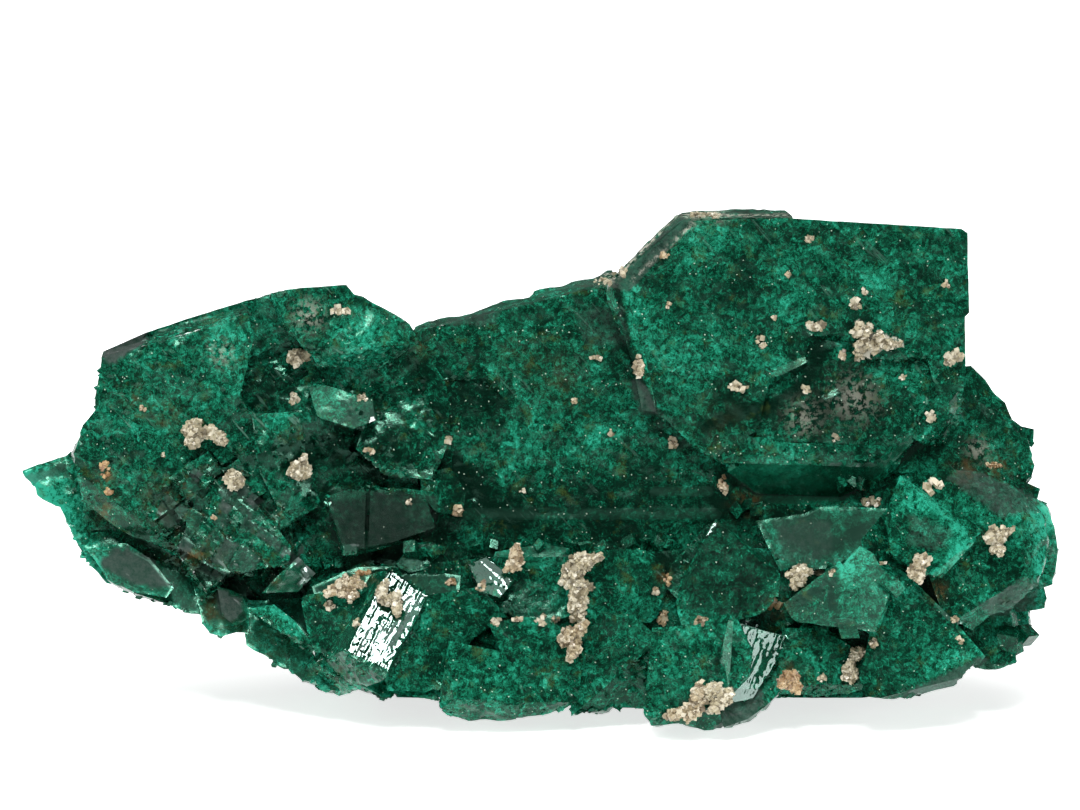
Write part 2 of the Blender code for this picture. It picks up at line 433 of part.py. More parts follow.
def right_side(crystals):
    """The crystals that stand behind the right end."""
    behind = [(23.0, 20.8), (24.9, 21.15), (25.75, 20.3), (26.35, 19.45), (26.95, 18.95), (27.35, 17.95),
              (28.0, 17.5), (28.3, 16.6), (28.5, 15.9), (28.2, 14.2), (27.4, 12.6), (23.0, 12.6)]
    plate("far_crystal", crystals, behind, -0.6, 4.4, (0.22, 0.0),
          [((25.6, 19.6, -0.4), (0.5, 0.42, -0.76))])
    plate("far_chip_1", crystals, [(27.2, 17.7), (28.6, 17.4), (28.55, 16.5), (27.2, 16.0)], 1.6, 4.0)
    plate("far_chip_2", crystals, [(26.8, 16.0), (28.3, 16.1), (28.65, 15.3), (28.4, 14.4), (26.8, 14.0)],
          -0.4, 3.4, (0.2, 0.1))
    plate("far_chip_3", crystals, [(26.4, 14.6), (28.3, 14.25), (28.95, 13.95), (28.8, 13.3), (27, 12)],
          -2.4, 1.4, (0.2, 0.2))
    plate("end_rim", crystals, [(27.6, 13.7), (28.8, 13.35), (29.4, 12.8), (29.8, 11.7), (30.0, 10.4),
                                (29.85, 9.2), (29.6, 8.5), (27.8, 8.0)], -6.0, -1.4, (0.35, 0.0))
    plate("end_chip", crystals, [(27.4, 8.6), (29.2, 8.2), (29.35, 7.6), (29.15, 7.15), (27.4, 7.0)],
          -5.0, -1.6, (0.1, 0.1))
    plate("foot_plate", crystals, [(24.0, 7.4), (27.2, 7.6), (27.45, 5.4), (27.55, 3.95), (26.6, 3.66),
                                   (25.4, 3.6), (23.8, 3.9)], -6.2, -1.4, (0.1, 0.05))
    plate("foot_chip", crystals, [(26.0, 8.0), (28.2, 7.9), (28.3, 6.1), (28.15, 5.3), (27.7, 5.35),
                                  (26.0, 5.8)], -4.8, -1.4, (0.1, 0.1))


def inside(outline, right, up):
    """Whether a point of the show side lies inside a closed outline."""
    crossings = 0
    for (right_a, up_a), (right_b, up_b) in zip(outline, outline[1:] + outline[:1]):
        if (up_a > up) != (up_b > up):
            if right < right_a + (up - up_a) * (right_b - right_a) / (up_b - up_a):
                crossings += 1
    return crossings % 2 == 1


def rhomb_edges(chance, edge):
    """The three edges of a rhomb that is turned any way."""
    turn = Matrix.Rotation(chance.uniform(-0.8, 0.8), 3, "Z")
    turn = turn @ Matrix.Rotation(chance.uniform(-0.7, 0.7), 3, "X")
    turn = turn @ Matrix.Rotation(chance.uniform(-0.7, 0.7), 3, "Y")
    skew = Matrix(((1, RHOMB_SHEAR, RHOMB_SHEAR), (RHOMB_SHEAR, 1, RHOMB_SHEAR),
                   (RHOMB_SHEAR, RHOMB_SHEAR, 1)))
    return [turn @ skew @ (axis * edge * chance.uniform(0.75, 1.1))
            for axis in (Vector((1, 0, 0)), Vector((0, 1, 0)), Vector((0, 0, 1)))]


def hidden_side(crystals):
    """Rhombs of mixed sizes grown over the back, none of them showing past the show side."""
    chance = random.Random(BACK_SEED)
    count = 0
    right = -23.0
    while right < 27:
        up = 3.0 + chance.uniform(0, 1.5)
        while up < 28:
            edge = chance.uniform(BACK_EDGE_LOW, BACK_EDGE_HIGH)
            edges = rhomb_edges(chance, edge)
            share = 1 - abs(right - 1) / 30
            deep = BACK_FACE + BACK_BULGE * share - 0.5 * edge + chance.uniform(-0.5, 0.5)
            middle = Vector((right + chance.uniform(-1, 1), up, deep))
            for _ in range(6):
                corner = middle - (edges[0] + edges[1] + edges[2]) / 2
                ends = [corner + a * edges[0] + b * edges[1] + c * edges[2]
                        for a in (0, 1) for b in (0, 1) for c in (0, 1)]
                if all(inside(HIDDEN_OUTLINE, end.x, end.y) for end in ends):
                    block(f"back_rhomb_{count:02d}", crystals, corner, *edges)
                    count += 1
                    break
                edges = [part * 0.85 for part in edges]
            up += BACK_STEP * chance.uniform(0.75, 1.05)
        right += BACK_STEP * 0.85


def biggest_shell(mesh):
    """Leaves only the outermost closed surface of a mesh, dropping any bubble shut in by a union."""
    work = bmesh.new()
    work.from_mesh(mesh)
    left, best = set(work.verts), []
    while left:
        shell, edge = set(), [left.pop()]
        while edge:
            vertex = edge.pop()
            shell.add(vertex)
            near = {link.other_vert(vertex) for link in vertex.link_edges} & left
            left -= near
            edge.extend(near)
        if len(shell) > len(best):
            best = shell
    bmesh.ops.delete(work, geom=[vertex for vertex in work.verts if vertex not in best], context="VERTS")
    work.to_mesh(mesh)
    work.free()


def joined(pieces):
    """One closed mesh from the overlapping objects of a collection, which are used up."""
    first = pieces.objects[0]
    pieces.objects.unlink(first)
    bpy.context.scene.collection.objects.link(first)
    if pieces.objects:
        union = first.modifiers.new("grown_together", "BOOLEAN")
        union.operation = "UNION"
        union.operand_type = "COLLECTION"
        union.collection = pieces
    mesh = evaluated_mesh(first)
    for piece in [first] + list(pieces.objects):
        bpy.data.objects.remove(piece)
    return mesh


def evaluated_mesh(thing):
    bpy.context.view_layer.update()
    return bpy.data.meshes.new_from_object(thing.evaluated_get(bpy.context.evaluated_depsgraph_get()))


def hollow(crystal, cutters, name, outline, floor):
    """Sinks a hollow of this outline into the front of a crystal, down to a floor this deep."""
    cutter = plate(name, cutters, outline, HOLLOW_FRONT, floor, straight=True)
    away = crystal.modifiers.new(name, "BOOLEAN")
    away.operation = "DIFFERENCE"
    away.object = cutter
    mesh = evaluated_mesh(crystal)
    crystal.modifiers.clear()
    crystal.data = mesh


def surface_under(shape, right, up):
    """The place and the facing of the surface that is seen at a point of the show side, or None."""
    eye = seen((0.0, SIGHT_AXIS_UP, -SIGHT_LENGTH))
    place, facing, _, _ = shape.ray_cast(eye, (seen((right, up, 0.0)) - eye).normalized())
    return place, facing


def seat_plane(shape, cluster, lobes):
    """The flat that a clump sits on: it clears the surface under and around every lobe."""
    hits, facing = [], Vector()
    for right, up, width in lobes:
        middle, _ = surface_under(shape, right, up)
        steps = [width * SEAT_REACH * step / 3 for step in range(-3, 4)]
        for aside in steps:
            for above in steps:
                place, out = surface_under(shape, right + aside, up + above)
                if place and (place - middle).length < 1.2 * width * MM:
                    hits.append(place)
                    facing += out
        near = SEAT_REACH * width * MM
        hits += [corner.co for corner in cluster.data.vertices if (corner.co - middle).length < near]
    facing.normalize()
    highest = max(hit.dot(facing) for hit in hits)
    return facing * (highest + CLUMP_CLEARANCE * MM), facing


def druse_clump(name, lobes, shape, cluster, specimen, material):
    """One clump of druse: rhomb grains grown together, cut flat where it sits on the crystals."""
    chance = random.Random(name)
    grains = new_collection(name + "_grains")
    on_seat, facing = seat_plane(shape, cluster, lobes)
    eye = seen((0.0, SIGHT_AXIS_UP, -SIGHT_LENGTH))
    for number, (right, up, width) in enumerate(lobes):
        aim = seen((right, up, 0.0)) - eye
        middle = eye + aim * ((on_seat - eye).dot(facing) / aim.dot(facing))
        for grain in range(GRAINS_PER_LOBE):
            cube = bmesh.new()
            bmesh.ops.create_cube(cube, size=1.0)
            edges = [part * MM for part in rhomb_edges(chance, width * GRAIN_SHARE)]
            shift = Vector([chance.uniform(-0.14, 0.14) * width * MM for _ in range(3)])
            for corner in cube.verts:
                share = corner.co.copy()
                corner.co = middle + shift + share.x * edges[0] + share.y * edges[1] + share.z * edges[2]
            bmesh.ops.recalc_face_normals(cube, faces=cube.faces)
            add_object(f"{name}_{number}_{grain}", cube, grains)
    mesh = joined(grains)
    bpy.data.collections.remove(grains)
    solid = bmesh.new()
    solid.from_mesh(mesh)
    chip(solid, [(on_seat, -facing)])
    clump = add_object(name, solid, specimen)
    biggest_shell(clump.data)
    clump.data.materials.clear()
    clump.data.materials.append(material)


def stand_on_origin(collection):
    """Moves the specimen so that the middle of its box is over the origin, and says by how much."""
    corners = [corner.co for thing in collection.objects for corner in thing.data.vertices]
    middle = Vector((0.0, 0.0, min(corner.z for corner in corners)))
    for axis in (0, 1):
        low, high = min(corner[axis] for corner in corners), max(corner[axis] for corner in corners)
        middle[axis] = (low + high) / 2
    for thing in collection.objects:
        for corner in thing.data.vertices:
            corner.co -= middle
    return middle


def hide_guides(collection):
    for guide in collection.objects:
        guide.hide_render = True
        guide.display_type = "WIRE"


def main():
    clear_scene()
    specimen = new_collection("dioptase_specimen")
    crystals = new_collection("crystals")
    cutters = new_collection("cutters")
    for grow in (core, stepped_squares, left_margin, front_row_left, front_row_right, right_side,
                 hidden_side):
        grow(crystals)
    for grow in (great_slab, middle_mass, left_crystal):
        grow(crystals, cutters)
    cluster = bpy.data.objects.new("dioptase_cluster", joined(crystals))
    specimen.objects.link(cluster)
    biggest_shell(cluster.data)
    cluster.data.materials.clear()
    cluster.data.materials.append(mineral("dioptase", DIOPTASE_GREEN, 0.25))
    cream = mineral("druse", DRUSE_CREAM, 0.6)
    bpy.context.view_layer.update()
    shape = BVHTree.FromObject(cluster, bpy.context.evaluated_depsgraph_get())
    for name, lobes in CLUMP_LOBES.items():
        druse_clump(name, lobes, shape, cluster, specimen, cream)
    stand_on_origin(specimen)
    hide_guides(cutters)


main()
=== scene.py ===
"""Looks of the dioptase specimen: the crystal surface, the small crystals on it and the druse.

The file is laid out as an add-on and is run as a script. Places on the show side are given as
(right, up) in millimetres as the specimen is looked at, and are turned into the frame's metres
by the functions under "The show side".
"""
import math
import random

import bmesh
import bpy
import numpy as np
from bpy.props import FloatProperty, FloatVectorProperty, IntProperty, PointerProperty
from mathutils import Matrix, Vector
from mathutils.bvhtree import BVHTree


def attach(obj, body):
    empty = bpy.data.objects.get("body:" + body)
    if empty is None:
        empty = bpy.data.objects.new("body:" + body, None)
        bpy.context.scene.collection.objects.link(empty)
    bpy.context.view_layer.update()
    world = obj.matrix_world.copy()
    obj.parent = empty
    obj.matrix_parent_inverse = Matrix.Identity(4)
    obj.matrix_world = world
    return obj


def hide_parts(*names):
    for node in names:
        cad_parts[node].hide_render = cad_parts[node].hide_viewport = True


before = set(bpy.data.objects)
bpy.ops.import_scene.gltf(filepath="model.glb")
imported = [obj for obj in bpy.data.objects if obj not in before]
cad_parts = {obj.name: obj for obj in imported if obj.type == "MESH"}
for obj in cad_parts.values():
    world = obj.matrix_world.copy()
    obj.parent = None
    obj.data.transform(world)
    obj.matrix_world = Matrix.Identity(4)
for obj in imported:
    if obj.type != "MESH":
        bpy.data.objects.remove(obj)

bl_info = {
    "name": "Dioptase specimen",
    "version": (1, 0, 0),
    "blender": (4, 5, 0),
    "location": "3D View > Sidebar > Dioptase",
    "description": "Builds the crystal surface, the druse and the stage of a dioptase specimen",
    "category": "Object",
}

MM = 0.001
CLUSTER = "dioptase_cluster"
SURFACE = "dioptase_surface"
CRYSTAL_FINISH = "dioptase crystal"
ETCHED_FINISH = "etched dioptase"
DRUSE_FINISH = "sugary druse"
SURFACE_TREE = "Crystals on a surface"
POINT_TREE = "Grains at points"
CLUMPS = sorted(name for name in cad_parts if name.startswith("druse_"))
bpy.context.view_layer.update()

# How the specimen is looked at, in millimetres. The picture is 1080 pixels wide, at 17.27 to
# the millimetre. FOOT_DEEP is the depth where height 0 lies on the floor, and FRAME_SHIFT is
# added to the frame's coordinates to get those of the show side.
SIGHT_TILT = math.radians(10.0)
SIGHT_LENGTH = 400.0
SIGHT_UP = 18.8
FOOT_DEEP = -10.0
FRAME_SHIFT = (-0.0614, 1.3344, 0.0)
PICTURE_WIDTH = 1080 / 17.27

STRIATED_SHARE = 0.3
FINE_SHARE = 0.6
COARSE_TO_FINE = (12.0, 6.0, 3.0, 1.7, 1.0)
FACES_EYE, FACES_ASIDE = 0.1, -0.3

# Where corners are one, in metres, and the angles of flat faces and edges and of sharp edges.
WELD = 1e-8
FLAT_EDGE = 1e-3
FLAT_ANGLE = math.radians(0.3)
SHARP_ANGLE = math.radians(24)

# Relief: heights, sizes and depths in millimetres, and levels of noise from 0 to 1. A block is
# (height, size, shift, seed). The relief is held back on edges sharper than EDGE_ANGLE.
EDGE_ANGLE = math.radians(20)
EDGE_SHARE = 0.4
RELIEF_LIMIT = 0.22
PIT_LIMIT = 1.6 * RELIEF_LIMIT
STAIR_HEIGHT, STAIR_COUNT, STAIR_SIZE = 0.34, 6, 2.6
BLOCKS = ((0.16, 1.7, 0.0, 12), (0.10, 0.8, 0.3, 13), (0.07, 0.42, 0.0, 14))
PIT_DEPTH, PIT_FROM, PIT_SPAN, PIT_SIZE = 0.22, 0.66, 0.34, 0.75
CRUMB_TURN = (37.0, 33.0)
CRUMB_HEIGHT, CRUMB_PIT, CRUMB_PIT_FROM, CRUMB_POLISH = 0.16, 0.12, 0.68, 0.9
WAVE_HEIGHT, WAVE_FROM, WAVE_SPAN = 0.9, 0.3, 0.3
POLISH_CALM = 0.92
COVER_PATCH, COVER_HIDDEN = 2.4, 0.25

# Striae: (height, size, stretch along the face, seed) of the lines, the net and the swell.
STRIA_LENGTH = 0.12
STRIAE = ((0.034, 0.15, 1, 31), (0.022, 0.12, 6, 32), (0.16, 1.3, 5, 33))

# The stepped squares: sizes and heights in millimetres, the half width of the flat part and of
# its fading edge as shares of a square, and the share of the squares that are there.
SQUARE_WIDE = 1.15
SQUARE_HIGH = 1.0
SQUARE_TURN = math.radians(-36)
SQUARE_STEP, SQUARE_LEAN, SQUARE_GAP = 0.24, 0.22, 0.04
SQUARE_HALF, SQUARE_FADE = 0.42, 0.06
SQUARE_COUNT = 0.6

# How far light is followed into the crystal, in millimetres, from how far under its skin, in
# metres, and the painted glow of its thin places: light through them painted into the tone.
THICK = 8.0
SKIN = 2e-5
THIN_DEPTH = 1.3
THIN_PAINTED_GLOW = 0.35

# The key light as (azimuth, rise), how near its mirror direction a face is matt or has calm
# crumbs, and what a matt face has: its dullness, its painted shade (a darker green where it would
# mirror the key light) and its share of clearness.
KEY_AIM = (math.radians(-2), math.radians(47.5))
MATT_WITHIN = math.radians(18)
CALM_WITHIN = math.radians(25)
CALM_SHARE, CALM_START = 0.55, 1.7
MATT_HALF = 0.5
MATT_DULL, MATT_PAINTED_SHADE, MATT_CLEAR = 0.6, 0.4, 0.3

# Finishes of the same crystal: shares of shine, clearness and colour, the range of dullness, and
# the tint of what it mirrors. The clean one is where the polish is above CLEAN_ABOVE.
CLEAN_ABOVE = 0.65
CLEAN = {"shine": 0.3, "clear": 1.0, "colour": 1.0, "dull": (0.08, 0.28), "tint": (0.8, 1.0, 0.94)}
ETCHED = {"shine": 0.1, "clear": 0.56, "colour": 0.8, "dull": (0.08, 0.3),
          "tint": (0.42, 1.0, 0.74)}


# The show side

def show_side(points):
    """(right, up, deep) in millimetres of an array of points in metres."""
    spot = points / MM + np.array(FRAME_SHIFT)
    sine, cosine = math.sin(SIGHT_TILT), math.cos(SIGHT_TILT)
    raised = spot[:, 2] - FOOT_DEEP * sine
    height = spot[:, 1] * sine + raised * cosine
    deep = spot[:, 1] * cosine - raised * sine
    spread = 1 + deep / SIGHT_LENGTH
    return spot[:, 0] / spread, SIGHT_UP + (height - SIGHT_UP) / spread, deep


def place(right, up, deep):
    """The point in metres that is seen at (right, up) and lies that deep."""
    spread = 1 + deep / SIGHT_LENGTH
    height = SIGHT_UP + (up - SIGHT_UP) * spread
    sine, cosine = math.sin(SIGHT_TILT), math.cos(SIGHT_TILT)
    y = height * sine + deep * cosine
    z = height * cosine - (deep - FOOT_DEEP) * sine
    return (Vector((right * spread, y, z)) - Vector(FRAME_SHIFT)) * MM


EYE = place(0.0, SIGHT_UP, -SIGHT_LENGTH)


def toward(azimuth, rise):
    """The direction to a light. Azimuth 0 is the show side, and rise is above the level."""
    return (math.sin(azimuth) * math.cos(rise), -math.cos(azimuth) * math.cos(rise),
            math.sin(rise))


def inside(outline, right, up):
    """True for each (right, up) that lies inside the outline."""
    hit = np.zeros(len(right), bool)
    for (ax, ay), (bx, by) in zip(outline, outline[1:] + outline[:1]):
        if ay == by:
            continue
        crosses = (up > min(ay, by)) & (up <= max(ay, by))
        hit ^= crosses & (right < ax + (up - ay) * (bx - ax) / (by - ay))
    return hit


def inside_any(outlines, right, up):
    """True for each (right, up) that lies inside one of the outlines."""
    hit = np.zeros(len(right), bool)
    for outline in outlines:
        hit |= inside(outline, right, up)
    return hit


def strongest(regions, right, up):
    """The largest strength of the (strength, outline) regions that hold each place."""
    total = np.zeros(len(right))
    for strength, outline in regions:
        total = np.maximum(total, strength * inside(outline, right, up))
    return total


def blobs(right, up, spots):
    """Sum of soft round spots (right, up, radius, strength)."""
    total = np.zeros(len(right))
    for at_right, at_up, radius, strength in spots:
        away = ((right - at_right) ** 2 + (up - at_up) ** 2) / radius ** 2
        total += strength * np.exp(-away)
    return total


def near_lines(right, up, lines):
    """Sum of soft lines (width, strength, path)."""
    total = np.zeros(len(right))
    for width, strength, path in lines:
        nearest = np.full(len(right), np.inf)
        for (ax, ay), (bx, by) in zip(path, path[1:]):
            share = ((right - ax) * (bx - ax) + (up - ay) * (by - ay))
            share = np.clip(share / ((bx - ax) ** 2 + (by - ay) ** 2), 0, 1)
            off = (right - ax - share * (bx - ax)) ** 2 + (up - ay - share * (by - ay)) ** 2
            nearest = np.minimum(nearest, off)
        total += strength * np.exp(-nearest / width ** 2)
    return total


# Noise on arrays of points

def scrambled(cells, seed):
    """A number from 0 to 1 for each whole-number cell."""
    mixed = (cells[:, 0] * 73856093) ^ (cells[:, 1] * 19349663) ^ (cells[:, 2] * 83492791)
    mixed = (mixed ^ (seed * 2654435761)) & 0xFFFFFFFF
    for _ in range(2):
        mixed = ((mixed ^ (mixed >> 15)) * 2246822519) & 0xFFFFFFFF
        mixed = mixed ^ (mixed >> 13)
    return (mixed & 0xFFFFFF) / float(0xFFFFFF)


def block_noise(points, size, seed):
    """One value for each block of the grid."""
    return scrambled(np.floor(points / size).astype(np.int64), seed)


def soft_noise(points, size, seed):
    """Values that change smoothly over about one size."""
    scaled = points / size
    low = np.floor(scaled).astype(np.int64)
    part = scaled - low
    part = part * part * (3 - 2 * part)
    total = np.zeros(len(points))
    for corner in np.ndindex(2, 2, 2):
        weight = np.prod(np.where(corner, part, 1 - part), axis=1)
        total += weight * scrambled(low + np.array(corner), seed)
    return total


def turned(points, degrees, lean=20.0):
    """Points in millimetres, turned into the lattice of a crystal."""
    spin = Matrix.Rotation(math.radians(degrees), 3, "Y")
    spin = spin @ Matrix.Rotation(math.radians(lean), 3, "X")
    return points @ np.array(spin)


# Regions of the crystals. An outline is a list of (right, up) in millimetres.

STRIATED = {
    "left mirror face": [(-8.7, 9.3), (-6.4, 7.7), (-8.6, 3.3), (-11.8, 4.8)],
    "small mirror face": [(-4.2, 9.6), (-3.1, 10.2), (-1.4, 8.6), (-2.2, 7.4), (-3.7, 7.9)],
    "end face": [(11.4, 6.5), (14.4, 5.6), (13.6, 3.7), (12.3, 1.6), (10.6, 1.6),
                 (12.1, 3.2), (12.3, 4.6)],
}
# Polished places: (polish, outline).
SMOOTH = [
    (0.95, [(10.5, 14.8), (13, 13.0), (17.5, 13.1), (20, 14.6), (22.7, 16.6), (21.4, 17.0),
            (19.3, 15.5), (12, 15.5)]),
    (0.9, [(4.0, 25.8), (8.2, 29.7), (8.9, 29.4), (5.1, 25.3)]),
    (0.8, [(7.4, 29.9), (14.8, 30.4), (14.8, 29.7), (8.2, 29.4)]),
    (0.9, [(5.1, 20.4), (6.1, 20.1), (7.0, 18.2), (5.8, 18.2)]),
    (0.8, [(-12.2, 14.0), (-5.9, 13.6), (-6.0, 11.4), (-10, 10.3), (-12.2, 10.8)]),
    (1.0, [(-16, 7.8), (-14, 10.0), (-12.8, 9.1), (-13.6, 7.9)]),
    (1.0, [(-25.5, 9.6), (-23, 10.2), (-21.2, 8.3), (-23, 8.4)]),
    (0.9, [(-18.9, 6.1), (-16.9, 6.1), (-16.9, 8.4), (-18.7, 8.4)]),
    (0.9, [(-25.6, 21.8), (-22.5, 23.4), (-22.8, 22.5), (-25.0, 21.1)]),
    (0.9, [(-30.2, 14.6), (-27.5, 15.5), (-27.3, 14.9), (-29.5, 14.2)]),
    (0.9, [(20.8, 2.0), (25.9, 4.4), (23.5, 2.0)]),
    (0.9, [(9.7, 0.0), (12.4, 1.6), (13.4, 1.7), (12.4, 0.2)]),
    (0.6, [(18.6, 14.6), (22.0, 16.2), (26.3, 14.2), (29.0, 11.0), (29.8, 8.6), (27.5, 8.6),
           (24.4, 12.0)]),
    (0.3, [(12.0, 12.4), (15.3, 13.3), (18.5, 13.5), (19.0, 11.2), (14.0, 10.0)]),
    (0.7, [(8.2, 8.9), (10.3, 12.6), (14.5, 9.6), (13.4, 6.9), (8.4, 6.2)]),
    (0.5, [(20.3, 14.6), (25.6, 11.2), (23.2, 8.3), (20.0, 9.9)]),
    (0.3, [(14.5, 7.0), (18.5, 11.0), (20.6, 8.8), (20.0, 7.0), (19.0, 5.6)]),
    (0.5, [(-27.0, 11.0), (-21.0, 9.6), (-17.0, 5.6), (-21.0, 5.2)]),
]
POCKET = [(12.2, 15.6), (13.0, 19.0), (15.2, 20.6), (15.6, 22.6), (17.8, 22.3), (22.6, 21.2),
          (22.4, 18.6), (20.8, 16.3), (19.0, 15.5)]
LEFT_CRYSTAL = [(-26, 8), (-27, 15), (-25.6, 22), (-11, 26.5), (-7, 23.6), (-5.5, 20), (-6, 14),
                (-12, 14), (-14, 7)]
MIDDLE = [(-7.5, 23.6), (4.3, 26.4), (5.4, 21), (6.6, 18.2), (10, 15.4), (10, 12.6), (-3, 12.4),
          (-6, 16)]
SQUARES = [(-22.5, 13.5), (-19, 15.6), (-14, 14.2), (-13.5, 8), (-17, 7.6), (-21, 10)]
FRINGE = [(-31, 15.0), (-27.4, 16.4), (-26.4, 12.6), (-24.4, 10.2), (-21.6, 8.2), (-17.2, 6.4),
          (-12.6, 4.6), (-8.8, 3.6), (-8.2, 1.4), (-14, 1.6), (-24, 5.6), (-29, 10.0)]
# Soft lines along feet of crystals that would mirror the key light, made matt and so given painted
# shade: (width, strength, path).
DULL_LINES = [
    (0.45, 1.2, [(-4.2, 12.5), (10.2, 12.5)]), (0.4, 1.2, [(6.6, 13.8), (9.8, 13.8)]),
    (0.35, 1.2, [(-3.6, 10.3), (2.0, 10.6)]),
]
BEVEL = [(3.8, 26.0), (7.6, 30.2), (9.4, 29.8), (5.4, 25.2)]
PATCH = [(18.4, 23.7), (18.7, 21.3), (20.0, 22.1), (21.0, 22.3), (21.0, 22.6), (19.7, 22.8)]

# The share of the relief in each crystal and hollow. The slab is right of and above a corner.
ROUGH_CRYSTALS = ((0.5, LEFT_CRYSTAL), (0.34, MIDDLE))
ROUGH_HOLLOWS = ((0.42, POCKET), (0.46, FRINGE))
ROUGH_SEEN, ROUGH_HIDDEN, ROUGH_UNDER = 0.06, 0.5, 0.8
ROUGH_SLAB_SEEN, ROUGH_SLAB_HIDDEN, ROUGH_SQUARES = 0.0, 0.2, 0.1
SLAB_RIGHT, SLAB_UP = 4.2, 15
SEEN_RISE, SEEN_ABOVE = 4, 0.2
UNDERSIDE = -0.25

# What the gaps between the squares, the scratches and the patch add.
GAP_STAIN, GAP_DARK = 0.5, 0.3
SCRATCH_ELSEWHERE = 0.4
PATCH_DUST = 1.5

# Soft spots are (right, up, radius, strength), and soft lines are (width, strength, path). The
# dark spots are darker clouds in the crystal and painted shade in crevices, along ledges and under
# overhangs.
DARK_CLOUDS_AND_SHADE_SPOTS = [
    (-15.0, 20.0, 1.5, 0.8), (-14.3, 16.4, 1.3, 1.0), (-12.0, 16.2, 1.2, 0.7),
    (-9.0, 16.0, 1.5, 0.8), (-4.6, 19.8, 2.0, 0.9), (-2.8, 18.4, 1.6, 0.6),
    (-5.0, 15.2, 1.2, 1.0), (-3.6, 13.6, 1.2, 1.0), (-1.8, 12.2, 1.4, 0.9),
    (1.6, 12.2, 2.6, 0.7), (5.5, 12.6, 2.4, 0.6), (-9.0, 10.6, 2.2, 0.9),
    (-6.0, 10.0, 1.8, 0.8), (-12.0, 12.4, 1.6, 0.6), (16.2, 18.3, 2.0, 0.9),
    (19.2, 18.6, 1.8, 0.7), (11.3, 18.9, 1.5, 0.6), (11.8, 25.6, 1.4, 0.5),
    (15.0, 21.8, 1.2, 0.5), (9.2, 27.0, 1.0, 0.3), (10.4, 13.3, 1.4, 0.9),
    (13.5, 12.6, 1.4, 0.8), (-7.4, 21.0, 0.9, 0.6), (21.5, 25.5, 1.5, 0.4),
    (-20.0, 11.0, 1.4, 0.5), (18.0, 10.8, 0.9, 0.6), (23.0, 8.0, 1.0, 0.8),
    (7.3, 9.2, 1.0, 0.6), (12.4, 9.5, 1.5, 0.3), (-17.5, 16.0, 1.5, 0.4),
    (15.6, 12.2, 1.7, 0.9), (-10.0, 18.0, 2.0, 0.5), (19.0, 12.2, 1.0, 0.6),
    (-9.2, 12.4, 2.4, 0.5), (15.6, 7.8, 1.2, 0.5), (19.2, 8.6, 0.9, 0.5),
]
# Lighter clouds in the crystal, painted light on faces that catch the light and on a shaded bevel,
# and painted highlights.
LIGHT_CLOUDS_AND_LIT_SPOTS = [
    (-2.8, 20.8, 0.5, 1.3), (-12.0, 19.0, 1.0, 0.4), (-4.4, 20.9, 0.8, 0.5),
    (-1.0, 16.6, 1.6, 0.5), (3.0, 17.4, 1.4, 0.5), (0.2, 13.0, 0.8, 0.2),
    (6.3, 23.0, 1.6, 0.35), (8.2, 20.0, 1.8, 0.3), (19.6, 25.8, 1.6, 0.3),
    (9.6, 28.4, 1.4, 0.4), (-13.8, 20.8, 1.3, 0.3), (-9.5, 22.6, 1.6, 0.4),
    (-18.3, 22.5, 1.6, 0.3), (-15.6, 17.8, 0.8, 0.6), (-28.5, 14.0, 1.6, 0.8),
    (-26.0, 9.6, 1.2, 0.6), (-18.4, 5.4, 1.0, 1.0), (-15.6, 6.2, 1.2, 0.5),
    (-18.5, 22.6, 3.0, 0.35), (-11.0, 23.2, 2.4, 0.35), (-21.5, 19.0, 2.6, 0.2),
    (17.8, 9.3, 0.9, 0.7), (21.9, 12.8, 1.0, 0.7), (24.2, 10.6, 0.8, 0.8),
    (26.8, 5.4, 1.2, 1.0), (28.8, 12.4, 1.0, 0.8), (5.9, 17.6, 0.5, 1.0),
    (0.6, 10.0, 0.8, 0.6), (-4.0, 2.0, 1.4, 0.4), (15.6, 16.2, 1.6, 0.3),
    (13.4, 14.4, 2.0, 0.4), (18.0, 14.8, 2.0, 0.4), (17.6, 9.6, 0.7, 0.6),
]
# Painted light along lit and thin edges, and painted shade, with negative strength, along creases,
# a crack and ledges.
PAINTED_LIGHT_AND_SHADE_LINES = [
    (1.0, 1.15, [(-30.2, 14.8), (-28.6, 13.2), (-27.0, 10.2), (-25.4, 7.8), (-22.6, 6.4),
                (-19.8, 5.2), (-17.4, 4.0), (-15.0, 2.4), (-12.8, 1.8), (-11.0, 1.8)]),
    (0.3, 0.9, [(20.9, 14.5), (25.1, 11.0), (23.1, 9.1)]),
    (0.6, 0.8, [(-5.4, 24.4), (-2.0, 24.9), (3.0, 26.4)]),
    (0.7, 0.9, [(29.2, 12.6), (28.8, 8.8), (28.0, 4.6)]),
    (0.5, 0.8, [(-16.6, 7.0), (-15.0, 6.9), (-13.8, 5.6)]),
    (0.4, 0.5, [(17.4, 7.6), (18.4, 10.3), (19.6, 8.0)]),
    (0.9, -0.6, [(10.4, 11.6), (9.6, 8.6), (11.6, 8.4)]),
    (0.25, 0.6, [(10.4, 12.2), (13.8, 9.8)]),
    (0.25, 0.8, [(12.9, 12.9), (16.0, 13.2), (19.6, 13.0)]),
    (0.3, -1.2, [(14.2, 11.2), (16.6, 10.6), (18.6, 11.6)]),
    (0.3, 0.9, [(17.0, 12.6), (17.8, 10.9)]),
    (0.25, -1.0, [(14.7, 7.4), (16.8, 8.4), (17.2, 6.6)]), (0.3, 0.8, [(12.9, 12.6), (14.2, 9.9)]),
    (0.14, -2.0, [(4.4, 25.7), (5.4, 21.2), (6.7, 18.4)]),
    (0.3, -1.6, [(9.6, 17.6), (13.0, 18.6), (15.4, 20.0), (16.2, 22.0)]),
    (0.3, -1.2, [(-4.8, 15.6), (-3.6, 13.4), (-1.4, 11.8)]),
    (0.5, -1.0, [(-23.8, 11.6), (-21.6, 9.9), (-19.4, 8.6)]),
]
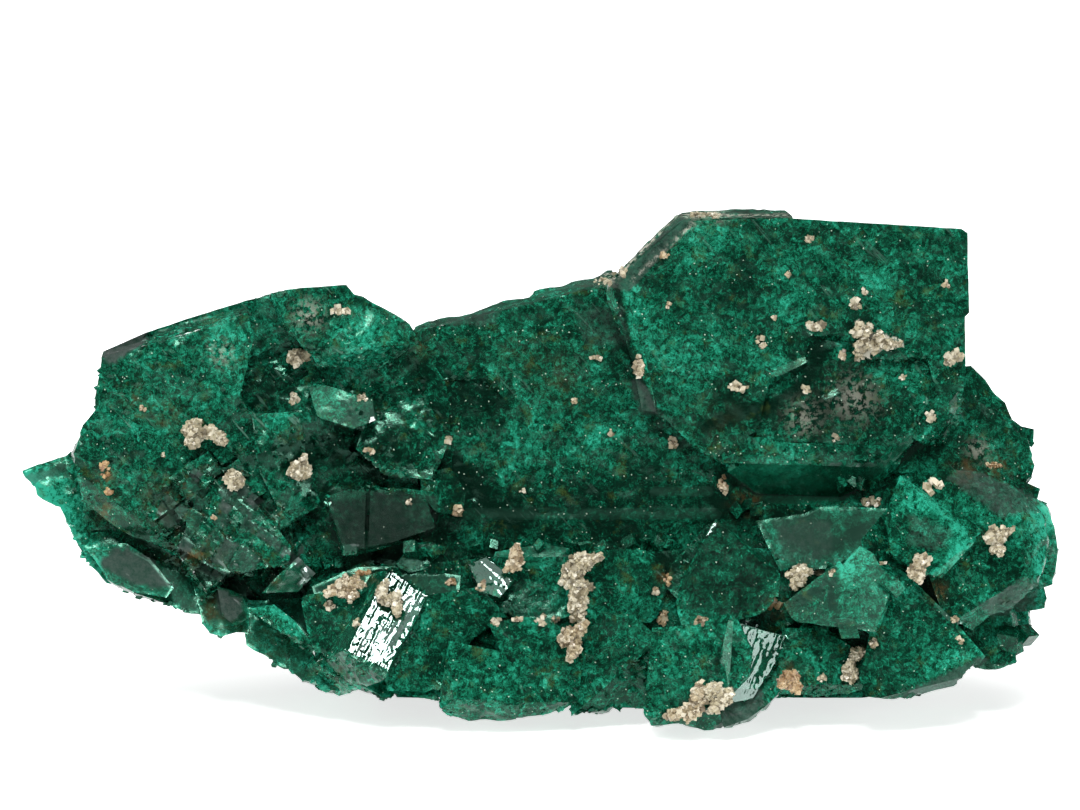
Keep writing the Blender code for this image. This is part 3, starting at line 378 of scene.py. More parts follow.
# Places given a painted grey reflection, the sheen of faces that mirror the room: (strength,
# outline).
GREY = [
    (0.28, [(-12.2, 14.0), (-5.9, 13.6), (-6.0, 11.4), (-10, 10.3), (-12.2, 10.8)]),
    (1.0, [(-16, 7.8), (-13.5, 10.1), (-12.9, 9.1), (-14.2, 8.0)]),
    (1.0, [(-25.6, 9.6), (-24.6, 10.5), (-22.6, 10.1), (-21.2, 8.2), (-23.5, 8.4)]),
    (0.9, [(-18.7, 8.2), (-17.3, 7.6), (-17.2, 6.8), (-18.0, 6.1), (-18.7, 7.0)]),
    (1.0, [(-25.6, 21.8), (-22.5, 23.4), (-22.8, 22.5), (-25.0, 21.1)]),
    (0.6, [(-30.2, 14.6), (-27.5, 15.5), (-27.3, 14.9), (-29.5, 14.2)]),
    (0.7, [(20.8, 2.0), (25.9, 4.4), (25.4, 3.2), (23.5, 1.8)]),
    (0.8, [(10.4, 2.4), (12.9, 2.4), (13.0, 1.4), (11.6, 0.1), (10.4, 0.1)]),
    (0.7, [(5.1, 20.4), (6.1, 20.1), (7.0, 18.2), (5.8, 18.2)]),
    (0.3, [(2.0, 24.2), (4.6, 24.6), (5.2, 22.4), (2.6, 22.2)]),
    (0.6, [(4.0, 25.8), (8.2, 29.7), (8.9, 29.4), (5.1, 25.3)]),
    (0.6, [(23.5, 14.6), (24.6, 15.2), (28.6, 13.6), (28.9, 12.6), (26.6, 12.4)]),
    (0.7, [(25.4, 7.2), (27.4, 8.4), (29.0, 8.8), (28.6, 7.2), (26.2, 6.4)]),
    (0.35, [(21.2, 12.6), (23.9, 11.6), (23.6, 10.4), (21.4, 10.6)]),
    (0.4, [(13.4, 12.2), (16.8, 12.0), (16.9, 10.2), (15.4, 9.5), (13.9, 9.9)]),
    (0.5, [(-5.4, 24.8), (-2.3, 24.2), (-2.6, 23.4), (-5.4, 23.4)]),
    (0.6, [(0.0, 26.7), (3.4, 27.0), (3.4, 25.6), (0.0, 25.6)]),
]
BROWN_SPOTS = [
    (-25.2, 14.6, 0.5, 1.0), (-25.1, 12.8, 0.7, 0.7), (-20.4, 10.2, 0.8, 0.9),
    (-22.0, 13.0, 1.2, 0.4), (-15.4, 8.8, 0.5, 0.5), (13.7, 7.1, 0.6, 1.0),
    (12.0, 13.0, 0.8, 0.7), (24.6, 15.0, 0.7, 0.8), (26.6, 15.2, 0.6, 0.9),
    (23.0, 8.0, 0.5, 1.0), (7.2, 9.0, 0.4, 0.7), (-10.2, 9.3, 0.5, 0.8),
    (1.0, 20.4, 1.3, 0.2), (-1.5, 21.8, 1.0, 0.15), (-7.0, 22.2, 0.6, 0.4),
    (10.0, 17.6, 1.6, 0.1), (-19.0, 6.8, 1.0, 0.5), (-16.5, 4.4, 1.4, 0.5),
    (-11.5, 3.0, 0.8, 0.3), (14.3, 3.4, 0.5, 0.8), (-19.0, 24.0, 0.5, 0.6),
    (-23.5, 19.4, 0.7, 0.4), (-21.6, 18.2, 0.8, 0.5),
]
CRUST_SPOTS = [
    (10.2, 30.2, 0.6, 0.9), (8.9, 30.1, 0.5, 0.9), (3.9, 26.3, 0.5, 0.7),
    (-13.4, 24.0, 0.8, 0.4), (15.2, 18.0, 0.9, 0.3), (18.2, 19.2, 1.2, 0.3),
    (-18.4, 21.8, 0.7, 0.3), (25.4, 16.2, 0.6, 0.4),
]
CRUST_LINES = [
    (0.13, 1.3, [(4.3, 26.1), (7.9, 29.8)]), (0.1, 1.0, [(5.2, 25.9), (8.8, 29.3)]),
    (0.1, 0.8, [(8.2, 29.75), (14.6, 29.8)]), (0.1, 1.0, [(-2.4, 24.9), (0.6, 25.8)]),
]


TURN_ELSEWHERE, TURN_LEFT, TURN_MIDDLE, TURN_SLAB = 42.0, 33.0, 12.0, 3.0
SLAB_FOOT = 13.2


def lattice_turns(right, up):
    """How far each place's crystal lattice is turned in the picture plane, in degrees."""
    turns = np.full(len(right), TURN_ELSEWHERE)
    turns[inside(LEFT_CRYSTAL, right, up)] = TURN_LEFT
    turns[inside(MIDDLE, right, up)] = TURN_MIDDLE
    turns[(right > SLAB_RIGHT) & (up > SLAB_FOOT)] = TURN_SLAB
    return turns


# The crystal surface

def welded_copy(node):
    """The node's mesh with its doubles merged and its flat faces whole."""
    bm = bmesh.new()
    bm.from_mesh(node.data)
    bmesh.ops.remove_doubles(bm, verts=bm.verts, dist=WELD)
    bmesh.ops.dissolve_limit(bm, angle_limit=FLAT_ANGLE, verts=bm.verts, edges=bm.edges)
    bmesh.ops.triangulate(bm, faces=bm.faces, ngon_method="BEAUTY")
    return bm


def evened(bm):
    """Turns the edges that lie inside flat faces so that their triangles are less thin."""
    bm.normal_update()
    flat = [edge for edge in bm.edges if edge.calc_face_angle(1.0) < FLAT_EDGE]
    bmesh.ops.beautify_fill(bm, faces=bm.faces, edges=flat)


def arrays_of(bm):
    """Vertex places and triangles of a triangulated mesh as arrays."""
    bm.verts.index_update()
    places = np.array([vertex.co for vertex in bm.verts])
    triangles = np.array([[vertex.index for vertex in face.verts] for face in bm.faces])
    return places, triangles


def mesh_from(places, triangles):
    """A closed bmesh made of arrays."""
    mesh = bpy.data.meshes.new("made")
    mesh.from_pydata(places.tolist(), [], triangles.tolist())
    bm = bmesh.new()
    bm.from_mesh(mesh)
    bpy.data.meshes.remove(mesh)
    return bm


def wanted_lengths(places, triangles, lengths):
    """The longest edge wanted in each triangle, from how it faces the eye."""
    corners = places[triangles]
    normals = np.cross(corners[:, 1] - corners[:, 0], corners[:, 2] - corners[:, 0])
    normals /= np.linalg.norm(normals, axis=1)[:, None] + 1e-30
    middles = corners.mean(axis=1)
    to_eye = np.array(EYE) - middles
    to_eye /= np.linalg.norm(to_eye, axis=1)[:, None]
    facing = (normals * to_eye).sum(axis=1)
    front, side, back = lengths
    in_front = facing > FACES_EYE
    wanted = np.where(in_front, front, np.where(facing > FACES_ASIDE, side, back))
    right, up, _ = show_side(middles)
    wanted[inside_any(STRIATED.values(), right, up) & in_front] *= STRIATED_SHARE
    wanted[inside_any((SQUARES, BEVEL, PATCH), right, up) & in_front] *= FINE_SHARE
    return wanted


def split_once(places, triangles, lengths):
    """Halves every edge that is too long. The triangles round it stay joined."""
    wanted = wanted_lengths(places, triangles, lengths)
    pairs = np.sort(triangles[:, [[0, 1], [1, 2], [2, 0]]].reshape(-1, 2), axis=1)
    edges, owner = np.unique(pairs, axis=0, return_inverse=True)
    owner = owner.ravel()
    want = np.full(len(edges), np.inf)
    np.minimum.at(want, owner, np.repeat(wanted, 3))
    span = np.linalg.norm(places[edges[:, 0]] - places[edges[:, 1]], axis=1)
    halved = span > want
    if not halved.any():
        return places, triangles, False
    middle_of = np.full(len(edges), -1)
    middle_of[halved] = len(places) + np.arange(halved.sum())
    places = np.vstack([places, places[edges[halved]].mean(axis=1)])
    middles = middle_of[owner].reshape(-1, 3)
    count = (middles >= 0).sum(axis=1)
    made = [triangles[count == 0]]
    for wanted_count, start in ((1, lambda cut: cut.argmax(axis=1)),
                                (2, lambda cut: (cut.argmin(axis=1) + 1) % 3),
                                (3, lambda cut: np.zeros(len(cut), int))):
        here = count == wanted_count
        first = start(middles[here] >= 0)
        order = (first[:, None] + np.arange(3)) % 3
        a, b, c = np.take_along_axis(triangles[here], order, axis=1).T
        ab, bc, ca = np.take_along_axis(middles[here], order, axis=1).T
        if wanted_count == 1:
            made += [np.stack(t, axis=1) for t in ((a, ab, c), (ab, b, c))]
        elif wanted_count == 3:
            made += [np.stack(t, axis=1)
                     for t in ((a, ab, ca), (ab, b, bc), (ca, bc, c), (ab, bc, ca))]
        else:
            made.append(np.stack((ab, b, bc), axis=1))
            over = np.linalg.norm(places[a] - places[bc], axis=1)
            short = (over < np.linalg.norm(places[ab] - places[c], axis=1))[:, None]
            made.append(np.where(short, np.stack((a, ab, bc), 1), np.stack((a, ab, c), 1)))
            made.append(np.where(short, np.stack((a, bc, c), 1), np.stack((ab, bc, c), 1)))
    return places, np.vstack(made), True


def refined(bm, lengths):
    """Splits long edges until each is as short as its place wants."""
    for times in COARSE_TO_FINE:
        goal = [length * times for length in lengths]
        places, triangles = arrays_of(bm)
        bm.free()
        going = True
        while going:
            places, triangles, going = split_once(places, triangles, goal)
        bm = mesh_from(places, triangles)
        if times != COARSE_TO_FINE[-1]:
            evened(bm)
    return bm


def mesh_arrays(mesh):
    """Places and normals of a mesh's vertices as arrays."""
    count = len(mesh.vertices)
    places = np.empty(count * 3)
    normals = np.empty(count * 3)
    mesh.vertices.foreach_get("co", places)
    mesh.vertices.foreach_get("normal", normals)
    return places.reshape(-1, 3), normals.reshape(-1, 3)


def relief(points, right, up):
    """How far each place stands out, in millimetres: steps, pits and grain of the crystal."""
    turns = lattice_turns(right, up)
    height = np.zeros(len(points))
    for turn in np.unique(turns):
        here = turns == turn
        spots = turned(points[here], turn)
        steps = soft_noise(spots * (1.0, 1.0, 0.45), STAIR_SIZE, 11)
        part = STAIR_HEIGHT * (np.floor(steps * STAIR_COUNT) / STAIR_COUNT - 0.5)
        for block_height, size, shift, seed in BLOCKS:
            part += block_height * (block_noise(spots + shift, size, seed) - 0.5)
        pits = soft_noise(spots, PIT_SIZE, 15)
        part -= PIT_DEPTH * np.clip(pits - PIT_FROM, 0, 1) / PIT_SPAN
        height[here] = part
    return np.clip(height, -PIT_LIMIT, RELIEF_LIMIT)


def crumbs(points):
    """Fine crumbly relief, in millimetres."""
    points = turned(points, *CRUMB_TURN)
    wide = np.abs(soft_noise(points, 0.8, 16) - 0.5)
    narrow = np.abs(soft_noise(points, 0.45, 17) - 0.5)
    pits = np.clip(soft_noise(points, 0.6, 18) - CRUMB_PIT_FROM, 0, 1)
    return CRUMB_HEIGHT * (0.3 - (wide + 0.6 * narrow)) - CRUMB_PIT * pits


def squares(right, up):
    """Height in millimetres, share of gap and the grey of the painted sheen of the stepped
    squares, place by place.
    """
    across = right * math.cos(SQUARE_TURN) + up * math.sin(SQUARE_TURN)
    along = up * math.cos(SQUARE_TURN) - right * math.sin(SQUARE_TURN)
    along = along + 0.5 * np.sin(along * 1.1) + 0.12 * np.sin(across * 1.7)
    across = across + 0.5 * np.sin(across * 0.9 + 1.0) + 0.12 * np.sin(along * 2.1)
    row = np.floor(along / SQUARE_HIGH)
    none = np.zeros(len(right))
    shift = scrambled(np.stack([row, none, none], axis=1).astype(np.int64), 50)
    column = np.floor(across / SQUARE_WIDE + shift)
    cell = np.stack([column, row, none], axis=1).astype(np.int64)
    aside = across / SQUARE_WIDE + shift - column - 0.5
    above = along / SQUARE_HIGH - row - 0.5
    height = SQUARE_STEP * (scrambled(cell, 51) - 0.6)
    height += SQUARE_LEAN * (scrambled(cell, 52) - 0.5) * aside
    height += SQUARE_LEAN * (scrambled(cell, 53) - 0.2) * above
    from_middle = np.maximum(np.abs(aside), np.abs(above))
    gap = np.clip((from_middle - SQUARE_HALF) / SQUARE_FADE, 0, 1)
    there = scrambled(cell, 55) < SQUARE_COUNT
    return (height - SQUARE_GAP * gap) * there, gap * there, scrambled(cell, 54) * there


def striae(right, up, outline):
    """Ridge heights along the long side of a striated face, in millimetres."""
    ax, ay = outline[1]
    bx, by = outline[2]
    length = math.hypot(bx - ax, by - ay)
    across = ((right - ax) * (by - ay) - (up - ay) * (bx - ax)) / length
    along = ((right - ax) * (bx - ax) + (up - ay) * (by - ay)) / length
    spots = np.stack([across, along * STRIA_LENGTH, np.zeros(len(right))], axis=1)
    return sum(height * (soft_noise(spots * (1, stretch, 1), size, seed) - 0.5)
               for height, size, stretch, seed in STRIAE)


def ray_tree(mesh):
    """Ray-cast tree of a mesh."""
    return BVHTree.FromPolygons([vertex.co.copy() for vertex in mesh.vertices],
                                [tuple(face.vertices) for face in mesh.polygons])


def thickness(mesh, places, normals):
    """How far light would go through the crystal behind each place, in millimetres."""
    tree = ray_tree(mesh)
    through = np.full(len(places), THICK)
    for number, (spot, normal) in enumerate(zip(places, normals)):
        away = (Vector(spot) - EYE).normalized()
        if away.dot(normal) > 0:
            away = -away
        start = Vector(spot) + away * SKIN - Vector(normal) * SKIN
        hit = tree.ray_cast(start, away, THICK * MM)
        if hit[0] is not None:
            through[number] = hit[3] / MM
    return through


def roughness_of(right, up, seen, normals, on_squares):
    """The share of the relief that each place has, before its polish is taken off."""
    in_view = seen > SEEN_ABOVE
    rough = np.where(in_view, ROUGH_SEEN, ROUGH_HIDDEN)
    for share, outline in ROUGH_CRYSTALS:
        rough[inside(outline, right, up)] = share
    on_slab = (right > SLAB_RIGHT) & (up > SLAB_UP)
    rough[on_slab] = np.where(in_view, ROUGH_SLAB_SEEN, ROUGH_SLAB_HIDDEN)[on_slab]
    for share, outline in ROUGH_HOLLOWS:
        rough[inside(outline, right, up)] = share
    rough[on_squares] = ROUGH_SQUARES
    rough[normals[:, 2] < UNDERSIDE] = ROUGH_UNDER
    return rough


def off_key(looked, normals):
    """The angle between the key light and where each place would have to mirror it from."""
    mirrored = looked - 2 * (looked * normals).sum(axis=1)[:, None] * normals
    return np.arccos(np.clip(mirrored @ np.array(toward(*KEY_AIM)), -1, 1))


def surface_facts(mesh):
    """Per-vertex values that steer the relief and the finish of the crystal surface."""
    places, normals = mesh_arrays(mesh)
    right, up, _ = show_side(places)
    to_eye = np.array(EYE) - places
    to_eye /= np.linalg.norm(to_eye, axis=1)[:, None]
    seen = np.clip((normals * to_eye).sum(axis=1) * SEEN_RISE, 0, 1)
    striated = inside_any(STRIATED.values(), right, up)
    on_squares = inside(SQUARES, right, up) & (seen > SEEN_ABOVE)
    polish = np.maximum(strongest(SMOOTH, right, up), striated) * seen
    rough = roughness_of(right, up, seen, normals, on_squares)
    # Tone with painted light: darker and lighter clouds with painted shade and light, a painted
    # glow where the crystal is thin, and painted lit edges and shaded creases.
    tone_and_painted_light = (blobs(right, up, LIGHT_CLOUDS_AND_LIT_SPOTS) - blobs(right, up, DARK_CLOUDS_AND_SHADE_SPOTS)) * seen
    tone_and_painted_light += THIN_PAINTED_GLOW * np.exp(-thickness(mesh, places, normals) / THIN_DEPTH)
    tone_and_painted_light += near_lines(right, up, PAINTED_LIGHT_AND_SHADE_LINES) * seen
    # Painted grey reflection on faces that mirror the room; on the squares, a painted sheen of a
    # random grey for each square.
    grey = strongest(GREY, right, up)
    stain = blobs(right, up, BROWN_SPOTS)
    step, gap, shade = squares(right, up)
    grey[on_squares] = ((1 - gap) * shade)[on_squares]
    stain[on_squares] += GAP_STAIN * (gap * (shade < 0.5))[on_squares]
    tone_and_painted_light[on_squares] -= GAP_DARK * gap[on_squares]
    crust = blobs(right, up, CRUST_SPOTS) + near_lines(right, up, CRUST_LINES)
    off = off_key(-to_eye, normals)
    matt = np.maximum(2 - 2 * off / MATT_WITHIN, near_lines(right, up, DULL_LINES))
    return {
        "places": places, "normals": normals, "right": right, "up": up, "seen": seen,
        "striated": striated & (seen > 0), "polish": polish,
        "rough": rough * (1 - POLISH_CALM * polish), "tone_and_painted_light": tone_and_painted_light,
        "stain": stain * seen, "grey": grey * seen,
        "scratch": np.where(inside(LEFT_CRYSTAL, right, up), 1.0, SCRATCH_ELSEWHERE) * seen,
        "step": np.where(on_squares, step, 0.0), "matt": np.clip(matt, 0, 1) * ~striated,
        "calm": 1 - CALM_SHARE * np.clip(CALM_START - off / CALM_WITHIN, 0, 1),
        "crust": (crust + PATCH_DUST * inside(PATCH, right, up)) * seen,
    }


def surface_relief(facts, on_edge):
    """How far each vertex of the crystal surface moves along its normal, in millimetres."""
    points = facts["places"] / MM
    right, up = facts["right"], facts["up"]
    height = relief(points, right, up) * facts["rough"] * on_edge
    height += crumbs(points) * (1 - CRUMB_POLISH * facts["polish"]) * facts["calm"] * on_edge
    waves = soft_noise(points, 3.4, 41) + 0.5 * soft_noise(points, 1.7, 42) - 0.75
    height += WAVE_HEIGHT * waves * np.clip(facts["rough"] - WAVE_FROM, 0, WAVE_SPAN) / WAVE_SPAN
    height += facts["step"]
    for outline in STRIATED.values():
        here = inside(outline, right, up) & facts["striated"]
        height[here] = striae(right, up, outline)[here]
    return height


def growth_cover(facts):
    """How much of each place the small crystals cover: rough places, in patches, from 0 to 1."""
    low = np.clip(facts["rough"] * 2.2 - 0.75, 0.0, 1.0)
    patches = np.clip((soft_noise(facts["places"] / MM, COVER_PATCH, 21) - 0.42) * 4, 0, 1)
    return low * patches * (COVER_HIDDEN + (1 - COVER_HIDDEN) * facts["seen"])


def edge_shares(bm):
    """The share of the relief for each vertex: less on the edges of the crystals."""
    shares = np.ones(len(bm.verts))
    for edge in bm.edges:
        if edge.calc_face_angle(0.0) > EDGE_ANGLE:
            shares[[vertex.index for vertex in edge.verts]] = EDGE_SHARE
    return shares


def etched_faces(mesh, facts):
    """1 for each face that is etched, and 0 for those whose corners are all clean."""
    corners = np.empty(3 * len(mesh.polygons), int)
    mesh.polygons.foreach_get("vertices", corners)
    clean = facts["polish"] * (facts["matt"] < MATT_HALF) > CLEAN_ABOVE
    return 1 - clean[corners.reshape(-1, 3)].all(axis=1).astype(np.int32)


def keep_values(mesh, name, values):
    """Stores one number per vertex for the material nodes."""
    layer = mesh.attributes.new(name, "FLOAT", "POINT")
    layer.data.foreach_set("value", np.ascontiguousarray(values, np.float32))


def link(obj):
    """Puts an object in the scene's collection."""
    bpy.context.scene.collection.objects.link(obj)
    return obj


def seated(obj, slot, *nodes):
    """The piece rides on the root body and stands for the nodes, which it hides. The slot is not
    used.
    """
    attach(obj, "root")
    if nodes:
        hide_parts(*nodes)
    return obj


# Material nodes

class Nodes:
    """A small helper that adds shader nodes and joins them."""

    def __init__(self, name):
        self.material = bpy.data.materials.new(name)
        self.material.use_nodes = True
        self.tree = self.material.node_tree
        self.shader = self.tree.nodes["Principled BSDF"]
        self.output = self.tree.nodes["Material Output"]
        self.coordinates = self.add("ShaderNodeTexCoord").outputs["Object"]

    def add(self, kind, **facts):
        """A node of that kind. Facts with plain values are its settings."""
        node = self.tree.nodes.new(kind)
        for key, value in facts.items():
            setattr(node, key, value)
        return node

    def set(self, socket, value):
        """A number or colour, or the output that feeds the socket."""
        if isinstance(value, bpy.types.NodeSocket):
            self.tree.links.new(value, socket)
        else:
            socket.default_value = value

    def noise(self, per_mm, detail=4.0, rough=0.55, distort=0.0, at=None):
        """Cloudy noise with that many features in a millimetre."""
        node = self.add("ShaderNodeTexNoise")
        self.set(node.inputs["Vector"], at or self.coordinates)
        node.inputs["Scale"].default_value = per_mm / MM
        node.inputs["Detail"].default_value = detail
        node.inputs["Roughness"].default_value = rough
        node.inputs["Distortion"].default_value = distort
        return node.outputs["Fac"]

    def cells(self, per_mm, output="Distance", metric="EUCLIDEAN", at=None):
        """Cells with that many in a millimetre."""
        node = self.add("ShaderNodeTexVoronoi", distance=metric)
        self.set(node.inputs["Vector"], at or self.coordinates)
        node.inputs["Scale"].default_value = per_mm / MM
        return node.outputs[output]

    def stretched(self, scale, turn):
        """Object coordinates of a texture that is drawn out by the scale and then turned."""
        node = self.add("ShaderNodeMapping", vector_type="TEXTURE")
        self.set(node.inputs["Vector"], self.coordinates)
        node.inputs["Scale"].default_value = scale
        node.inputs["Rotation"].default_value = [math.radians(angle) for angle in turn]
        return node.outputs["Vector"]

    def warped(self, per_mm, reach_mm):
        """Object coordinates pushed about by noise, so that cells get crooked sides."""
        noise = self.add("ShaderNodeTexNoise")
        self.set(noise.inputs["Vector"], self.coordinates)
        noise.inputs["Scale"].default_value = per_mm / MM
        push = self.add("ShaderNodeVectorMath", operation="SCALE")
        self.set(push.inputs[0], noise.outputs["Color"])
        push.inputs["Scale"].default_value = reach_mm * MM
        total = self.add("ShaderNodeVectorMath", operation="ADD")
        self.set(total.inputs[0], self.coordinates)
        self.set(total.inputs[1], push.outputs[0])
        return total.outputs[0]

    def kept(self, name):
        """A value kept on the vertices."""
        return self.add("ShaderNodeAttribute", attribute_name=name).outputs["Fac"]

    def math(self, operation, first, second=0.0, clamp=False):
        """One sum."""
        node = self.add("ShaderNodeMath", operation=operation, use_clamp=clamp)
        self.set(node.inputs[0], first)
        self.set(node.inputs[1], second)
        return node.outputs[0]

    def plus(self, first, second):
        """Two values added."""
        return self.math("ADD", first, second)

    def times(self, first, second, clamp=False):
        """Two values multiplied."""
        return self.math("MULTIPLY", first, second, clamp)

    def ranged(self, value, low, high, to_low=0.0, to_high=1.0):
        """The value's range carried over to another, clamped."""
        node = self.add("ShaderNodeMapRange")
        for socket, fed in zip(node.inputs, (value, low, high, to_low, to_high)):
            self.set(socket, fed)
        return node.outputs["Result"]

    def ramp(self, value, stops):
        """Colours along a value."""
        node = self.add("ShaderNodeValToRGB")
        self.set(node.inputs["Fac"], value)
        ramp = node.color_ramp
        while len(ramp.elements) < len(stops):
            ramp.elements.new(1.0)
        for element, (at, colour) in zip(ramp.elements, stops):
            element.position = at
            element.color = (*colour, 1.0)
        return node.outputs["Color"]

    def mixed(self, amount, first, second):
        """The second colour over the first."""
        node = self.add("ShaderNodeMix", data_type="RGBA")
        self.set(node.inputs["Factor"], amount)
        colours = [socket for socket in node.inputs if socket.type == "RGBA"]
        for socket, value in zip(colours, (first, second)):
            self.set(socket, value if isinstance(value, bpy.types.NodeSocket) else (*value, 1.0))
        return [out for out in node.outputs if out.type == "RGBA"][0]

    def bump(self, height, depth_mm, strength=1.0, after=None):
        """Bump of that depth over another."""
        node = self.add("ShaderNodeBump")
        self.set(node.inputs["Height"], height)
        node.inputs["Distance"].default_value = depth_mm * MM
        self.set(node.inputs["Strength"], strength)
        if after is not None:
            self.set(node.inputs["Normal"], after)
        return node.outputs["Normal"]


# Colours of what clouds or covers the crystal, with pale specks that also stand for painted glints
# and the greys of a painted sheen, and places along the ramp of its greens.
GREEN_STOPS = (0.36, 0.54, 0.68, 0.88)
OLIVE = (0.055, 0.085, 0.018)
RUST = (0.10, 0.055, 0.018)
DUST = (0.52, 0.50, 0.42)
SPECK_AND_GLINT = (0.42, 0.52, 0.42)
SCRATCH = (0.12, 0.25, 0.19)
PAINTED_SHEEN_GREYS = [(0.25, (0.008, 0.028, 0.019)), (0.42, (0.052, 0.066, 0.060)), (0.6, (0.14, 0.16, 0.15))]

# Folds (per millimetre, weight, width) and flecks (per millimetre, weight) in the green.
FOLDS = ((1.3, 0.13, 0.035), (1.7, -0.16, 0.04), (3.1, 0.12, 0.04))
FLECKS = ((2.6, 0.22), (5.5, 0.2))


def cloud_value(n, inner, fine):
    """How light the green is, place by place: clouds, tone with painted light and shade, folds and
    flecks.
    """
    clouds = n.noise(0.38, 5.0, 0.6, 0.4)
    value = n.plus(n.times(clouds, 0.55), n.times(fine, 0.49))
    value = n.plus(value, n.times(n.kept("tone_and_painted_light"), 0.2))
    for per_mm, weight, wide in FOLDS:
        fold = n.math("ABSOLUTE", n.math("SUBTRACT", n.noise(per_mm, 3.0, 0.6, 0.8), 0.5))
        fold = n.times(n.ranged(fold, 0.0, wide, 1.0, 0.0), weight)
        value = n.plus(value, n.times(fold, inner))
    crumbs = n.warped(2.0, 0.25)
    for per_mm, weight in FLECKS:
        fleck = n.math("SUBTRACT", n.cells(per_mm, "Color", at=crumbs), 0.5)
        value = n.plus(value, n.times(fleck, n.times(inner, weight)))
    return value


def coverings(n, inner):
    """How much rust, dust, pale specks that also stand for painted glints, and scratches cover
    each place.
    """
    rust = n.ranged(n.noise(1.4, 4.0, 0.7), 0.42, 0.62)
    dust = n.ranged(n.noise(3.0, 3.0, 0.7), 0.46, 0.56)
    grit = n.warped(6.0, 0.12)
    speck_and_glint = n.ranged(n.cells(3.1, at=grit), 0.14, 0.1)
    chosen = n.ranged(n.cells(3.1, "Color", at=grit), 0.62, 0.65)
    drawn = n.stretched((1.0, 1.0, 14.0), (0, -42, 0))
    scratch = n.ranged(n.noise(3.4, 2.0, 0.5, at=drawn), 0.64, 0.7, 0.0, 0.55)
    scratch = n.times(scratch, n.ranged(n.noise(0.5, 2.0), 0.48, 0.6))
    return (n.times(n.kept("stain"), rust, clamp=True),
            n.times(n.kept("crust"), dust, clamp=True),
            n.times(n.times(speck_and_glint, chosen), inner),
            n.times(scratch, n.kept("scratch")))


def dioptase_material(settings, name, finish):
    """Deep green, see-through crystal with clouded, etched and polished places."""
    n = Nodes(name)
    greens = [tuple(finish["colour"] * part for part in colour) for colour in (
        settings.dark_green, settings.deep_green, settings.mid_green, settings.bright_green)]
    polish, matt, painted_sheen = n.kept("polish"), n.kept("matt"), n.kept("grey")
    fine = n.noise(1.9, 6.0, 0.85)
    inner = n.ranged(polish, 0.65, 0.95, 1.0, 0.25)
    rust, dust, speck_and_glint, scratch = coverings(n, inner)
    green = n.ramp(cloud_value(n, inner, fine), list(zip(GREEN_STOPS, greens)))
    olive = n.ranged(n.noise(0.9, 5.0, 0.7), 0.57, 0.72, 0.0, 0.55)
    sheen_colour = n.ramp(n.plus(n.times(fine, 0.7), n.times(scratch, 0.5)), PAINTED_SHEEN_GREYS)
    # Laid over the green: olive, rust, dust, pale specks with painted glints, scratches, the
    # painted grey sheen, and painted shade on matt faces.
    for amount, colour in (
            (n.times(olive, n.math("SUBTRACT", 1.0, polish)), OLIVE), (rust, RUST), (dust, DUST),
            (n.times(speck_and_glint, 0.75), SPECK_AND_GLINT), (scratch, SCRATCH), (painted_sheen, sheen_colour),
            (n.times(matt, MATT_PAINTED_SHADE), greens[0])):
        green = n.mixed(amount, green, colour)
    n.set(n.shader.inputs["Base Color"], green)
    covered = n.math("MAXIMUM", n.math("MAXIMUM", rust, dust), n.math("MAXIMUM", speck_and_glint, painted_sheen))
    clear = n.times(n.math("SUBTRACT", 1.0, covered), settings.clearness * finish["clear"])
    clear = n.times(clear, n.ranged(matt, 0.0, 1.0, 1.0, MATT_CLEAR))
    n.set(n.shader.inputs["Transmission Weight"], clear)
    dull = n.ranged(n.noise(1.1, 4.0, 0.7), 0.3, 0.7, *finish["dull"])
    dull = n.times(dull, n.ranged(polish, 0.0, 1.0, 1.0, 0.3))
    dull = n.math("MAXIMUM", dull, n.times(n.math("POWER", matt, 2.0), MATT_DULL))
    n.set(n.shader.inputs["Roughness"], dull)
    n.shader.inputs["IOR"].default_value = settings.bending
    n.shader.inputs["Specular IOR Level"].default_value = finish["shine"]
    n.shader.inputs["Specular Tint"].default_value = (*finish["tint"], 1.0)
    lattice = n.stretched((1.0, 1.0, 0.75), (12, 20, 8))
    calm = n.ranged(polish, 0.0, 1.0, 1.0, 0.12)
    normal = n.bump(n.cells(2.4, "Distance", "CHEBYCHEV", at=lattice), 0.012, calm)
    normal = n.bump(n.noise(5.0, 4.0, 0.7), 0.008, calm, normal)
    n.set(n.shader.inputs["Normal"], normal)
    depth = n.add("ShaderNodeVolumeAbsorption")
    depth.inputs["Color"].default_value = (*settings.depth_colour, 1.0)
    depth.inputs["Density"].default_value = settings.depth_density
    n.set(n.output.inputs["Volume"], depth.outputs["Volume"])
    return n.material


def clean_material(settings):
    """The crystal where its faces are whole."""
    return dioptase_material(settings, CRYSTAL_FINISH, CLEAN)


def etched_material(settings):
    """The same crystal where it is crumbly and shines less."""
    return dioptase_material(settings, ETCHED_FINISH, ETCHED)


# The darkest grains, and painted shade between the grains, where the clump's solid shows with its
# low shade value.
DRUSE_DARK_AND_GAP_SHADE = (0.11, 0.09, 0.05)
DRUSE_RUST = (0.20, 0.08, 0.03)


